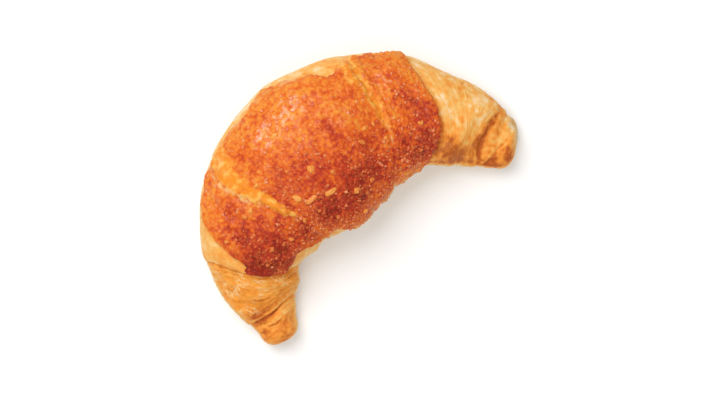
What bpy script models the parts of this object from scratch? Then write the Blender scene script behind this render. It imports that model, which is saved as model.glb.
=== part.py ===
"""Cheese croissant: a crescent of laminated dough rolled up from a triangle, with a crust of baked cheese on top.

Metres, +Z up. X runs from one horn to the other and +Y points to the round back of the crescent. The origin is the
middle of the box round the croissant, on the flat base that it was baked on.
"""

import math

import bmesh
import bpy
import numpy as np

MM = 0.001

# The ribs of the roll, from the end of the left horn to the end of the right one, in millimetres and degrees.
# A rib crosses the crescent from its inner edge to its back: its middle, how far it is turned from +Y, half its
# width, and the height of the roll there.
RIBS = (
    # x, y, turn, half width, height
    (-63.7, -40.9, 81.0, 8.8, 16.0),  # left tip
    (-60.6, -31.7, 86.0, 13.5, 20.0),  # just above the edge of the last left wrap
    (-58.4, -22.6, 64.0, 18.2, 26.0),
    (-54.8, -11.2, 51.5, 22.2, 31.5),  # edge of the second left wrap
    (-44.1, -1.2, 32.0, 27.6, 37.0),
    (-30.2, 6.9, 17.0, 31.6, 41.0),  # edge of the middle wrap, left
    (-17.8, 9.6, 8.0, 34.8, 44.0),
    (-4.8, 10.1, 0.5, 37.2, 45.0),  # the middle
    (9.4, 9.8, -8.0, 35.2, 44.0),
    (22.9, 7.3, -17.0, 31.4, 41.0),  # edge of the middle wrap, right
    (33.0, 3.3, -22.0, 28.7, 38.5),
    (42.6, -0.5, -26.5, 26.6, 34.5),  # edge of the second right wrap
    (53.5, -15.4, -38.0, 20.9, 29.0),
    (60.6, -26.8, -63.0, 16.4, 22.5),
    (65.7, -36.0, -46.0, 11.9, 17.5),  # right tip
)
LAST_RIB = len(RIBS) - 1
TIP_LENGTH = 7.4 * MM  # from the last rib to the end of the horn
TIP_SPAN = 0.4  # the same length, counted in ribs
TIP_BLUNTNESS = 2.5
WIDEST_AT = 0.39  # height of the widest line, as a share of the roll's height
SHOULDER = 2.25  # superellipse exponent of the section above the widest line
FOOT = 3.2  # and below it
BASE_SINK = 1.06  # how far the round foot would pass through the tray: the tray cuts it flat
BOX_MIDDLE = (0.7 * MM, -0.55 * MM)  # middle of the finished box, among the ribs

# Edges of the wraps: each is a rib number, the side its horn lies on, the depth of the step down to the wrap
# below, the width of the step, and the length over which the lower wrap comes up again.
WRAP_EDGES = (
    (0.86, -1, 1.8 * MM, 0.8 * MM, 6.0 * MM),  # last left wrap
    (3.0, -1, 1.9 * MM, 0.8 * MM, 9.0 * MM),  # second left wrap
    (4.62, -1, 0.8 * MM, 0.8 * MM, 5.0 * MM),  # a layer that shows beside the middle wrap
    (5.0, -1, 1.5 * MM, 2.4 * MM, 9.0 * MM),  # middle wrap, left
    (9.0, 1, 1.5 * MM, 2.4 * MM, 9.0 * MM),  # middle wrap, right
    (9.38, 1, 0.7 * MM, 0.8 * MM, 5.0 * MM),  # a layer beside it
    (11.0, 1, 2.0 * MM, 0.8 * MM, 9.0 * MM),  # second right wrap
    (13.38, 1, 1.2 * MM, 0.8 * MM, 5.0 * MM),  # last right wrap
)
LIP_ROUNDING = 1.5 * MM
LIP_SHARE = 0.3  # how much of the step is the rounding of the upper wrap
SIDE_STEP = 0.5  # depth of a step at the widest line, as a share of its depth on top
# How far each rib's ring bows towards its horn, in ribs, and the angle round the roll where it bows the most.
BOW = (
    (0.0, 85),
    (-0.2, 85),
    (-0.4, 100),
    (-0.52, 112),
    (-0.5, 90),
    (-0.42, 62),
    (-0.2, 75),
    (0.0, 90),
    (0.25, 100),
    (0.6, 106),
    (0.66, 103),
    (0.68, 100),
    (0.4, 100),
    (-0.2, 95),
    (-0.16, 95),
)
BOW_SPREAD = math.radians(46)

# Gentle unevenness of the risen dough: height, waves along the ribs, waves round the roll, phase.
PUFFS = (
    (0.50 * MM, 0.23, 2, 0.4),
    (0.35 * MM, 0.41, 3, 2.1),
    (0.22 * MM, 0.77, 5, 4.0),
)

RING_STEP = 3.3 * MM  # between rings, away from the wrap edges
EDGE_STEP = 0.9 * MM  # and beside them
EDGE_REACH = 1.7 * MM
FINE_PLACES = 2801  # along the roll, to set the rings out from
COLUMNS = 36
TIP_RINGS = 5

# The baked cheese covers the ribs from CHEESE_FROM to CHEESE_TO, down to an angle above the widest line that is
# given at every half rib, on the back and on the inner side.
CHEESE_FROM = 3.0
CHEESE_TO = 11.0
CHEESE_BACK = (86, 78, 34, 22, 20, 24, 29, 27, 24, 26, 40, 45, 32, 20, 18, 18, 24)
CHEESE_INNER = (42, 40, 36, 26, 14, 28, 22, 14, 10, 9, 9, 9, 9, 10, 11, 14, 26)
CHEESE_GAP = 0.4 * MM
CHEESE_DEPTH = 1.5 * MM
CHEESE_RIM = 0.35  # depth at its back and inner rims, as a share of the full depth
CHEESE_LIP = 0.75  # and at its ends
RIM_POINTS = 2  # points of the grid over which it comes to its full depth
CHEESE_LUMP = 0.3 * MM
CHEESE_WAVES = (
    # share of the lumps, then the waves along the ribs and round the roll of each of two waves that cross
    (0.6, 6.1, 9, 7.9, -11),
    (0.4, 17.3, -8, 13.1, 19),
)
CHEESE_RAGS = ((2.0, 6.1, 0.0), (1.2, 11.3, 1.0))  # unevenness of its rim: degrees, waves, phase
CHEESE_COLUMNS = 27

# Crumbs of cheese that kept their shape, fused to the crust. The long ones lie as shreds.
SHREDS = (
    # rib, angle round the roll, half length, half width, turn in the surface
    (5.75, 105, 2.2 * MM, 1.4 * MM, -72),
    (6.03, 112, 2.9 * MM, 1.2 * MM, -4),
    (6.73, 96, 1.9 * MM, 1.5 * MM, 60),
    (6.75, 115, 2.6 * MM, 1.2 * MM, -6),
    (7.43, 127, 1.4 * MM, 1.2 * MM, 0),
    (10.4, 102, 1.3 * MM, 1.2 * MM, 0),
)
CRUMBS = 30
CRUMB_SIZE = (0.7 * MM, 1.2 * MM)
CRUMB_STRETCH = (1.0, 1.6)
CRUMB_ANGLES = (62, 150)  # where they lie, round the roll
CRUMB_MARGIN = 0.5  # how far they stay from the ends of the crust, in ribs
CRUMB_FLATNESS = 0.9
CRUMB_SIDES = 7
CRUMB_RINGS = 4
CRUMB_SEED = 11

SHARP_ANGLE = math.radians(45)
DOUGH_COLOUR = (0.72, 0.40, 0.13, 1.0)
CHEESE_COLOUR = (0.56, 0.14, 0.03, 1.0)


def clear_scene():
    for obj in list(bpy.data.objects):
        bpy.data.objects.remove(obj, do_unlink=True)


def new_collection(name):
    collection = bpy.data.collections.new(name)
    bpy.context.scene.collection.children.link(collection)
    return collection


def baked_material(name, colour, roughness):
    material = bpy.data.materials.new(name)
    material.use_nodes = True
    shader = material.node_tree.nodes["Principled BSDF"]
    shader.inputs["Base Color"].default_value = colour
    shader.inputs["Roughness"].default_value = roughness
    shader.inputs["Metallic"].default_value = 0.0
    return material


def through(values, at):
    """Catmull-Rom curve through values that stand at 0, 1, 2 and so on."""
    values = np.asarray(values, float)
    first = 2 * values[:1] - values[1:2]
    last = 2 * values[-1:] - values[-2:-1]
    values = np.concatenate([first, values, last])
    step = np.clip(np.floor(at).astype(int), 0, len(values) - 4)
    f = at - step
    a, b, c, d = (values[step + k] for k in range(4))
    return b + 0.5 * f * (c - a + f * (2 * a - 5 * b + 4 * c - d + f * (3 * b - a - 3 * c + d)))


def rib_value(column, at):
    return through([rib[column] for rib in RIBS], at)


def smooth_roll(at, angle):
    """The roll without its wraps: a superellipse section with a flat foot, carried along the ribs.

    The angle is 0 at the back, 90 degrees on top and 180 degrees on the inner side.
    """
    rib = np.clip(at, 0, LAST_RIB)
    over = np.clip(np.abs(at - rib) / TIP_SPAN, 0, 1)
    shrink = (1 - over**TIP_BLUNTNESS) ** (1 / TIP_BLUNTNESS)
    turn = np.radians(rib_value(2, rib))
    half = rib_value(3, rib) * MM * shrink
    height = rib_value(4, rib) * MM
    reach = np.sign(at - rib) * over * TIP_LENGTH
    cos, sin = np.cos(angle), np.sin(angle)
    power = 2 / np.where(sin >= 0, SHOULDER, FOOT)
    side = half * np.sign(cos) * np.abs(cos) ** power
    rise = np.sign(sin) * np.abs(sin) ** power * shrink
    widest = WIDEST_AT * height
    x = rib_value(0, rib) * MM + reach * np.cos(turn) - side * np.sin(turn)
    y = rib_value(1, rib) * MM + reach * np.sin(turn) + side * np.cos(turn)
    z = widest + np.where(rise > 0, (height - widest) * rise, BASE_SINK * widest * rise)
    return np.stack([x - BOX_MIDDLE[0], y - BOX_MIDDLE[1], z], -1)


def outward(at, angle):
    """Unit normals of the smooth roll, and the length of one rib step at each place."""
    small = 0.001
    nearly = 0.97 * TIP_SPAN  # the end itself is a point, with no length round the roll
    inner = np.clip(at, -nearly, LAST_RIB + nearly)
    along = (smooth_roll(inner + small, angle) - smooth_roll(inner - small, angle)) / (2 * small)
    around = smooth_roll(inner, angle + small) - smooth_roll(inner, angle - small)
    normal = np.cross(around, along)
    length = np.linalg.norm(normal, axis=-1, keepdims=True)
    return normal / length, np.linalg.norm(along, axis=-1)


def bowed(rib, angle):
    """The place along the ribs where the ring of this rib number passes at each angle."""
    inner = np.clip(rib, 0, LAST_RIB)
    amount = through([bow[0] for bow in BOW], inner)
    most = np.radians(through([bow[1] for bow in BOW], inner))
    away = (angle - most + math.pi) % (2 * math.pi) - math.pi
    return rib + amount * np.exp(-((away / BOW_SPREAD) ** 2))


def wrap_relief(rib, angle, rib_length):
    """Height of the wraps' steps: the upper wrap rounds off at its lip, and the next one starts lower down."""
    relief = np.zeros_like(rib_length)
    for edge, side, depth, width, recovery in WRAP_EDGES:
        past = (rib - edge) * side * rib_length
        beyond = np.clip(past / width + 0.5, 0, 1)
        beyond = beyond * beyond * (3 - 2 * beyond)
        lower = np.exp(-np.maximum(past, 0) / recovery)
        upper = LIP_SHARE * np.exp(np.minimum(past, 0) / LIP_ROUNDING)
        relief -= depth * (beyond * lower + (1 - beyond) * upper)
    return relief * (SIDE_STEP + (1 - SIDE_STEP) * np.maximum(np.sin(angle), 0))


def puff(rib, angle):
    return sum(h * np.sin(2 * math.pi * a * rib + k * angle + p) for h, a, k, p in PUFFS)


def roll(rib, angle, lift=0.0):
    """The surface of the rolled dough at rib numbers and angles, lifted off itself by a distance."""
    at = bowed(rib, angle)
    normal, rib_length = outward(at, angle)
    inside = np.clip((np.minimum(rib, LAST_RIB - rib) + TIP_SPAN) / TIP_SPAN, 0, 1)
    relief = (wrap_relief(rib, angle, rib_length) + puff(rib, angle)) * inside + lift
    point = smooth_roll(at, angle) + normal * relief[..., None]
    point[..., 2] = np.maximum(point[..., 2], 0.0)
    return point


def ring_places():
    """Rib numbers of the rings: close together beside the wrap edges, wide apart between them."""
    fine = np.linspace(0, LAST_RIB, FINE_PLACES)
    top = np.full_like(fine, math.pi / 2)
    rib_length = outward(bowed(fine, top), top)[1]
    near = sum(np.exp(-(((fine - edge[0]) * rib_length / EDGE_REACH) ** 2)) for edge in WRAP_EDGES)
    density = rib_length * (1 / RING_STEP + np.clip(near, 0, 1) * (1 / EDGE_STEP - 1 / RING_STEP))
    count = np.concatenate([[0], np.cumsum((density[1:] + density[:-1]) / 2 * np.diff(fine))])
    places = np.interp(np.linspace(0, count[-1], round(count[-1]) + 1), count, fine)
    for edge in WRAP_EDGES:
        places[np.argmin(np.abs(places - edge[0]))] = edge[0]
    return places


def tip_places():
    """How far past the last rib the rings of a tip lie, closer together towards its end."""
    return TIP_SPAN * np.sin(np.linspace(0, math.pi / 2, TIP_RINGS + 1)[1:-1])


def grid_faces(rows, columns, closed):
    """Quads of a grid of points stored row by row."""
    row, column = np.meshgrid(np.arange(rows - 1), np.arange(columns if closed else columns - 1), indexing="ij")
    here = row * columns + column
    beside = row * columns + (column + 1) % columns
    return np.stack([here, beside, beside + columns, here + columns], -1).reshape(-1, 4)


def mesh_object(name, points, faces, material, collection):
    mesh = bpy.data.meshes.new(name)
    mesh.from_pydata(points.tolist(), [], faces)
    mesh.materials.append(material)
    mesh.validate()
    obj = bpy.data.objects.new(name, mesh)
    collection.objects.link(obj)
    return obj


def shade_round(obj):
    obj.data.shade_smooth()
    obj.data.set_sharp_from_angle(angle=SHARP_ANGLE)


def make_dough(collection, material):
    """The rolled dough: rings round the roll, closed by a point at the end of each horn."""
    tip = tip_places()
    ribs = np.concatenate([-tip[::-1], ring_places(), LAST_RIB + tip])
    angles = np.arange(COLUMNS) * 2 * math.pi / COLUMNS
    rib, angle = np.meshgrid(ribs, angles, indexing="ij")
    rings = roll(rib, angle).reshape(-1, 3)
    ends = smooth_roll(np.array([-TIP_SPAN, LAST_RIB + TIP_SPAN]), np.zeros(2))
    faces = grid_faces(len(ribs), COLUMNS, closed=True).tolist()
    left, right = len(rings), len(rings) + 1
    last_ring = len(rings) - COLUMNS
    for k in range(COLUMNS):
        beside = (k + 1) % COLUMNS
        faces.append([left, beside, k])
        faces.append([right, last_ring + k, last_ring + beside])
    dough = mesh_object("rolled_dough", np.concatenate([rings, ends]), faces, material, collection)
    shade_round(dough)


def cheese_angles(ribs):
    """The angles that the cheese spans at each rib number, from the back to the inner side."""
    place = (ribs - CHEESE_FROM) * 2
    ragged = sum(size * np.sin(waves * ribs + phase) for size, waves, phase in CHEESE_RAGS)
    back = np.radians(through(CHEESE_BACK, place) + ragged)
    inner = np.radians(180 - through(CHEESE_INNER, place) + ragged)
    return back, inner


def cheese_relief(rib, angle):
    """Lumps of the melted cheese, from -1 to 1: pairs of waves that cross."""
    return sum(
        share * np.sin(a * rib + b * angle) * np.sin(c * rib + d * angle) for share, a, b, c, d in CHEESE_WAVES
    )


def make_cheese(collection, material):
    """The baked crust: an open sheet just clear of the dough, given its uneven depth by Solidify."""
    ribs = ring_places()
    ribs = ribs[(ribs >= CHEESE_FROM) & (ribs <= CHEESE_TO)]
    back, inner = cheese_angles(ribs)
    share = np.linspace(0, 1, CHEESE_COLUMNS)
    rib = np.repeat(ribs[:, None], CHEESE_COLUMNS, axis=1)
    angle = back[:, None] + (inner - back)[:, None] * share
    sheet = roll(rib, angle, lift=CHEESE_GAP).reshape(-1, 3)
    faces = grid_faces(len(ribs), CHEESE_COLUMNS, closed=False).tolist()
    cheese = mesh_object("cheese_crust", sheet, faces, material, collection)

    rows = np.arange(len(ribs))[:, None]
    columns = np.arange(CHEESE_COLUMNS)[None]
    from_rim = np.clip(np.minimum(columns, CHEESE_COLUMNS - 1 - columns) / RIM_POINTS, 0, 1)
    from_end = np.clip(np.minimum(rows, len(ribs) - 1 - rows) / RIM_POINTS, 0, 1)
    full = (CHEESE_RIM + (1 - CHEESE_RIM) * from_rim) * (CHEESE_LIP + (1 - CHEESE_LIP) * from_end)
    depth = full * (CHEESE_DEPTH + CHEESE_LUMP * cheese_relief(rib, angle))
    deepest = CHEESE_DEPTH + CHEESE_LUMP
    group = cheese.vertex_groups.new(name="depth")
    for index, value in enumerate((depth / deepest).ravel()):
        group.add([index], float(value), "REPLACE")
    wall = cheese.modifiers.new("Solidify", "SOLIDIFY")
    wall.thickness = deepest
    wall.offset = 1.0
    wall.vertex_group = "depth"
    return cheese


def crumb_object(name, rib, angle, half_length, half_width, turn, collection, material):
    """A crumb: a low-sided ball drawn out along the surface and half sunk in the crust."""
    place = np.array([rib]), np.array([math.radians(angle)])
    middle = roll(*place, lift=CHEESE_GAP + CHEESE_DEPTH)[0]
    along = (roll(place[0] + 0.01, place[1]) - roll(*place))[0]
    up = outward(bowed(*place), place[1])[0][0]
    along -= up * (along @ up)
    along /= np.linalg.norm(along)
    across = np.cross(up, along)
    cos, sin = math.cos(math.radians(turn)), math.sin(math.radians(turn))
    axes = np.stack([cos * along + sin * across, cos * across - sin * along, up], 1)
    ball = bmesh.new()
    bmesh.ops.create_uvsphere(ball, u_segments=CRUMB_SIDES, v_segments=CRUMB_RINGS, radius=1.0)
    mesh = bpy.data.meshes.new(name)
    ball.to_mesh(mesh)
    ball.free()
    points = np.empty(len(mesh.vertices) * 3)
    mesh.vertices.foreach_get("co", points)
    scaled = points.reshape(-1, 3) * np.array([half_length, half_width, half_width * CRUMB_FLATNESS])
    mesh.vertices.foreach_set("co", (scaled @ axes.T + middle).ravel())
    mesh.materials.append(material)
    obj = bpy.data.objects.new(name, mesh)
    collection.objects.link(obj)
    return obj


def add_crumbs(cheese, material):
    """Fuses the shreds and a seeded scatter of crumbs to the crust."""
    helpers = new_collection("crumbs")
    draw = np.random.default_rng(CRUMB_SEED)
    for k, (rib, angle, half_length, half_width, turn) in enumerate(SHREDS):
        crumb_object(f"shred_{k}", rib, angle, half_length, half_width, turn, helpers, material)
    spacing = (CHEESE_TO - CHEESE_FROM - 2 * CRUMB_MARGIN) / CRUMBS
    for k in range(CRUMBS):
        rib = CHEESE_FROM + CRUMB_MARGIN + (k + draw.uniform(0, 1)) * spacing
        angle = draw.uniform(*CRUMB_ANGLES)
        size = draw.uniform(*CRUMB_SIZE)
        length = size * draw.uniform(*CRUMB_STRETCH)
        crumb_object(f"crumb_{k}", rib, angle, length, size, draw.uniform(0, 180), helpers, material)
    fuse = cheese.modifiers.new("Crumbs", "BOOLEAN")
    fuse.operation = "UNION"
    fuse.operand_type = "COLLECTION"
    fuse.collection = helpers
    fuse.solver = "EXACT"
    graph = bpy.context.evaluated_depsgraph_get()
    fused = bpy.data.meshes.new_from_object(cheese.evaluated_get(graph))
    cheese.modifiers.clear()
    cheese.vertex_groups.clear()
    cheese.data = fused
    for obj in list(helpers.objects):
        bpy.data.objects.remove(obj, do_unlink=True)
    bpy.data.collections.remove(helpers)
    shade_round(cheese)


def main():
    clear_scene()
    croissant = new_collection("cheese_croissant")
    dough_material = baked_material("baked dough", DOUGH_COLOUR, 0.6)
    cheese_material = baked_material("browned cheese", CHEESE_COLOUR, 0.45)
    make_dough(croissant, dough_material)
    cheese = make_cheese(croissant, cheese_material)
    add_crumbs(cheese, cheese_material)


main()
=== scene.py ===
"""Looks of a cheese croissant: its dough, its crust of baked cheese, the crumbs and flakes, and the stage.

The shapes are surfaces over two places on the roll: the rib number along it, from the left horn to the
right one, and the angle round it, which is 0 at the back, a quarter turn on top and half a turn on the
inner side.
"""

import math

import bpy
import numpy as np
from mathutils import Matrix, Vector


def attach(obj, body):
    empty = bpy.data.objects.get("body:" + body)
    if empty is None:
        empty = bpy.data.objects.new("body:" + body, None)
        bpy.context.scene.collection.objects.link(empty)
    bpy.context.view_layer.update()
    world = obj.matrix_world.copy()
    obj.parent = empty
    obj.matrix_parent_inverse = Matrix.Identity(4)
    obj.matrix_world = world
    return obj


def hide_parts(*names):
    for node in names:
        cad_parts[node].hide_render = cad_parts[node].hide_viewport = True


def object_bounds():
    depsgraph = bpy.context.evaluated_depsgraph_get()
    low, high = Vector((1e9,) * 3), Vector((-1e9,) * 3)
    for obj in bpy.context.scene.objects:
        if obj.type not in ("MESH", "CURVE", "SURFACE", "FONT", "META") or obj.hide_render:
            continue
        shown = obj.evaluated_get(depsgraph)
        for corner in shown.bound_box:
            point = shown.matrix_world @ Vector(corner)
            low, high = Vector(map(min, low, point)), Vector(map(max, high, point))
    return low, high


bl_info = {
    "name": "Cheese croissant",
    "version": (1, 0, 0),
    "blender": (4, 5, 0),
    "location": "3D View > Sidebar > Croissant",
    "description": "Dresses a rolled croissant with flaky dough, baked cheese, crumbs and flakes",
    "category": "Add Mesh",
}

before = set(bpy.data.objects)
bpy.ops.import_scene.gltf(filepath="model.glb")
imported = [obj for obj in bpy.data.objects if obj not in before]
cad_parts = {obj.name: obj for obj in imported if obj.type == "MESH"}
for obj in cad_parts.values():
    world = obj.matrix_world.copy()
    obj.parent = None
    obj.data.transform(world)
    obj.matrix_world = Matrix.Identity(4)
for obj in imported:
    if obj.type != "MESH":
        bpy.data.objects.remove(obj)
SOLID_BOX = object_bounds()

MM = 0.001

# The stage, in metres but for the film. Each light is a square, given by its side and its place.
CAMERA_OVER = (-0.86 * MM, -17.75 * MM)  # the place on the table that the camera stands over
FILM_WIDTH = 36.0  # in millimetres, as Blender has it
KEY_LIGHT = (0.8, (-0.03, 0.55, 1.02))
FILL_LIGHT = (1.1, (-0.3, -0.5, 1.2))
LIGHTS_AIM_AT = (0, 0, 0.02)
FLOOR_GAP = 0.1 * MM  # how far the floor lies under the croissant

# The roll. A rib crosses the crescent from its inner edge to its back. Each row gives its middle, how far it
# is turned from +Y in degrees, half its width, and the height of the roll there, in millimetres.
RIB_X, RIB_Y, RIB_TURN, RIB_HALF_WIDTH, RIB_HEIGHT = range(5)
RIBS = (
    (-63.7, -40.9, 81.0, 8.8, 16.0),
    (-60.6, -31.7, 86.0, 13.5, 20.0),
    (-58.4, -22.6, 64.0, 18.2, 26.0),
    (-54.8, -11.2, 51.5, 22.2, 31.5),
    (-44.1, -1.2, 32.0, 27.6, 37.0),
    (-30.2, 6.9, 17.0, 31.6, 41.0),
    (-17.8, 9.6, 8.0, 34.8, 44.0),
    (-4.8, 10.1, 0.5, 37.2, 45.0),
    (9.4, 9.8, -8.0, 35.2, 44.0),
    (22.9, 7.3, -17.0, 31.4, 41.0),
    (33.0, 3.3, -22.0, 28.7, 38.5),
    (42.6, -0.5, -26.5, 26.6, 34.5),
    (53.5, -15.4, -38.0, 20.9, 29.0),
    (60.6, -26.8, -63.0, 16.4, 22.5),
    (65.7, -36.0, -46.0, 11.9, 17.5),
)
LAST_RIB = len(RIBS) - 1
TIP_LENGTH = 7.4 * MM  # how far a horn goes on past its last rib
TIP_SPAN = 0.4  # the same, in rib numbers
TIP_BLUNTNESS = 2.5  # power of the curve that closes a horn: 2 is round, more is blunter
WIDEST_AT = 0.39  # share of the height at which the roll is widest
SHOULDER = 2.25  # power of the roll's curve above its widest line: 2 is round, more is squarer
FOOT = 3.2  # the same below it
BASE_SINK = 1.06  # how deep that lower curve goes: past 1, the table cuts it flat
BOX_MIDDLE = (0.7 * MM, -0.55 * MM)  # middle of the finished box, among the ribs

# Edges of the wraps: rib number, side of its horn, -1 for left, depth and width of the step, and the length
# over which the lower wrap comes up again.
WRAP_EDGES = (
    (0.86, -1, 1.8 * MM, 0.8 * MM, 6.0 * MM),
    (3.0, -1, 1.9 * MM, 0.8 * MM, 9.0 * MM),
    (4.62, -1, 0.8 * MM, 0.8 * MM, 5.0 * MM),
    (5.0, -1, 1.5 * MM, 2.4 * MM, 9.0 * MM),
    (9.0, 1, 1.5 * MM, 2.4 * MM, 9.0 * MM),
    (9.38, 1, 0.7 * MM, 0.8 * MM, 5.0 * MM),
    (11.0, 1, 2.0 * MM, 0.8 * MM, 9.0 * MM),
    (13.38, 1, 1.2 * MM, 0.8 * MM, 5.0 * MM),
)
LIP_ROUNDING = 1.5 * MM  # length over which a wrap bends down before its edge
LIP_SHARE = 0.3  # share of the step by which it has bent down at the edge
SIDE_STEP = 0.5  # depth of the steps at the sides of the roll, where it is 1 on top
EDGE_WANDER = 0.55 * MM  # how far the wraps' edges stray from a smooth line
# How far the edge at each rib bows along the roll, in rib numbers, and the angle at which it bows most.
BOW = (
    (0.0, 85),
    (-0.2, 85),
    (-0.4, 100),
    (-0.52, 112),
    (-0.5, 90),
    (-0.42, 62),
    (-0.2, 75),
    (0.0, 90),
    (0.25, 100),
    (0.6, 106),
    (0.66, 103),
    (0.68, 100),
    (0.4, 100),
    (-0.2, 95),
    (-0.16, 95),
)
BOW_SPREAD = math.radians(46)
# Waves of the risen dough: height, waves for each rib, waves round the roll, phase.
PUFFS = (
    (0.50 * MM, 0.23, 2, 0.4),
    (0.35 * MM, 0.41, 3, 2.1),
    (0.22 * MM, 0.77, 5, 4.0),
)

# Thin layers of dough that show on the horns: rib number on top of the roll, side, depth of the step, length
# of its slope, how many ribs it moves on for each radian towards the inner side, and the degrees past which
# it shows. Flakes lift off the first twelve, which show from the back on.
THIN_LAYERS = (
    (0.30, -1, 0.25 * MM, 1.4 * MM, 0.0, -60),
    (0.62, -1, 0.40 * MM, 1.4 * MM, 0.0, -60),
    (1.30, -1, 0.30 * MM, 1.8 * MM, 0.1, -60),
    (1.85, -1, 0.24 * MM, 2.2 * MM, 0.0, -60),
    (2.30, -1, 0.30 * MM, 2.0 * MM, -0.1, -60),
    (2.66, -1, 0.40 * MM, 1.8 * MM, 0.0, -60),
    (2.84, -1, 0.40 * MM, 1.6 * MM, 0.0, -60),
    (11.40, 1, 0.18 * MM, 2.4 * MM, 0.0, -60),
    (12.10, 1, 0.20 * MM, 2.6 * MM, 0.1, -60),
    (12.75, 1, 0.24 * MM, 2.0 * MM, -0.1, -60),
    (13.12, 1, 0.34 * MM, 1.6 * MM, 0.0, -60),
    (13.22, 1, 0.30 * MM, 1.2 * MM, 0.0, -60),
    (14.20, 1, 1.00 * MM, 3.0 * MM, -0.56, 92),
    (14.34, 1, 0.30 * MM, 1.4 * MM, -0.60, 98),
)
LAYER_STEP = 0.35 * MM  # width of their steps
LAYER_LIP = 0.25  # share of a step by which a layer has bent down at its edge
FLAKY_LAYERS = 12  # how many of them flakes lift off
HORNS = (2.9, 3.1, 10.9, 11.1)  # where the left horn ends and the right one starts, each as a soft step
# Where the dough swells out of its roll or sinks into it: rib, angle, reach in ribs, reach in degrees,
# millimetres.
SWELLS = (
    (13.78, 10, 0.26, 42, 1.1),
    (14.28, 20, 0.12, 46, -1.8),
    (13.80, 100, 0.22, 22, 0.5),
)

# The cheese: the ribs and the angles above the widest line that it covers, given at every half rib.
CHEESE_FROM = 3.0
CHEESE_TO = 11.0
CHEESE_TEARS = ((0.035, 1.9, 21), (0.012, 0.6, 22))  # torn ends: depth in ribs, size, seed
TEARS_PER_RADIAN = 30  # length of a radian, measured as their size is
CHEESE_BACK = (86, 78, 34, 22, 20, 24, 29, 27, 24, 26, 40, 45, 32, 20, 18, 18, 24)
CHEESE_INNER = (42, 40, 36, 26, 14, 28, 22, 14, 10, 9, 9, 9, 9, 10, 11, 14, 26)
CHEESE_GAP = 0.4 * MM  # its least height over the dough
CHEESE_RIM = 0.35  # share of its depth that is left at its rims
CHEESE_LIP = 0.75  # share of its depth that is left at its ends
CHEESE_LUMP = 0.3 * MM  # height of its broad lumps
# Those lumps: share of the height, then the waves along and round the roll of two sines that are multiplied.
CHEESE_WAVES = ((0.6, 6.1, 9, 7.9, -11), (0.4, 17.3, -8, 13.1, 19))
# Waves of its rims: degrees, waves along the roll, phase.
CHEESE_RAGS = ((2.0, 6.1, 0.0), (1.2, 11.3, 1.0), (0.6, 31.0, 0.6), (0.4, 57.0, 2.2))
CHEESE_GRAINS = (1.5 * MM, 23)  # size and seed of its main grains
CHEESE_SINK = 0.3 * MM  # how far its hidden underside lies in the dough
UNDER_COLUMNS = 14  # points across that underside

# Golden bands where the dough pulled apart beside the middle wrap: rib number and half width in ribs at the
# back, the same on the inner side, the degrees between which it fades out, and its strength.
BANDS = (
    (5.28, 0.26, 5.08, 0.17, 94, 134, 0.9),
    (8.84, 0.46, 9.14, 0.09, 84, 138, 0.72),
)
BAND_SPAN = (20, 112)  # the degrees at which those two places are given
# Pale edges of torn dough beside the bands: rib number, half width, from and to degrees, strength.
CREAM_LINES = (
    (4.985, 0.05, 14, 86, 0.62),
    (5.28, 0.05, 18, 52, 0.35),
    (9.12, 0.05, 96, 114, 0.45),
)
# Bare and thin places of the cheese, those low on the inner side partly painted light bounced up from the
# floor: rib, angle, reach in ribs, reach in degrees, amount.
THIN_CHEESE = (
    (8.1, 34, 0.75, 7, 0.75),
    (6.35, 30, 0.5, 5, 0.6),
    # Pale places low on the inner side: partly thin cheese, partly painted light bounced up from the floor.
    (5.4, 170, 0.8, 14, 0.55),
    (7.0, 172, 1.8, 8, 0.45),
    (9.0, 166, 0.3, 12, 0.5),
    (11.0, 160, 0.25, 14, 0.5),
    (3.1, 150, 0.3, 20, 0.4),
)
# Greasy places that shine, where a pale painted highlight is also mixed in, and the smooth place at the
# left wrap's end, with the same columns.
GREASY_AND_PAINTED_HIGHLIGHT = (
    (7.25, 58, 0.5, 12, 0.9),
    (6.35, 62, 0.4, 10, 0.8),
    (4.7, 50, 0.25, 16, 0.4),
    (8.1, 84, 0.3, 10, 0.4),
    (9.7, 60, 0.3, 14, 0.4),
    (10.4, 96, 0.3, 16, 0.35),
)
BARE = ((3.20, 92, 0.24, 18, 1.0),)

# Shreds of cheese: rib, angle, half length, half width, and turn in the surface, in degrees.
SHREDS = (
    (5.75, 105, 2.2 * MM, 1.4 * MM, -72),
    (6.03, 112, 2.9 * MM, 1.2 * MM, -4),
    (6.73, 96, 1.9 * MM, 1.5 * MM, 60),
    (6.75, 115, 2.6 * MM, 1.2 * MM, -6),
    (7.43, 127, 1.4 * MM, 1.2 * MM, 0),
    (10.4, 102, 1.3 * MM, 1.2 * MM, 0),
)
# Crumbs of cheese, strewn evenly along the crust, in the places where the plain solid has them.
CRUMBS = 30
CRUMB_SIZE = (0.7 * MM, 1.2 * MM)  # smallest and largest half width
CRUMB_STRETCH = (1.0, 1.6)  # length over width
CRUMB_ANGLES = (62, 150)  # degrees round the roll between which they lie
CRUMB_MARGIN = 0.5  # ribs at each end of the cheese that they keep clear of
CRUMB_FLATNESS = 0.9  # height over width
CRUMB_UNEVENNESS = 0.42
CRUMB_SEED = 11

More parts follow.
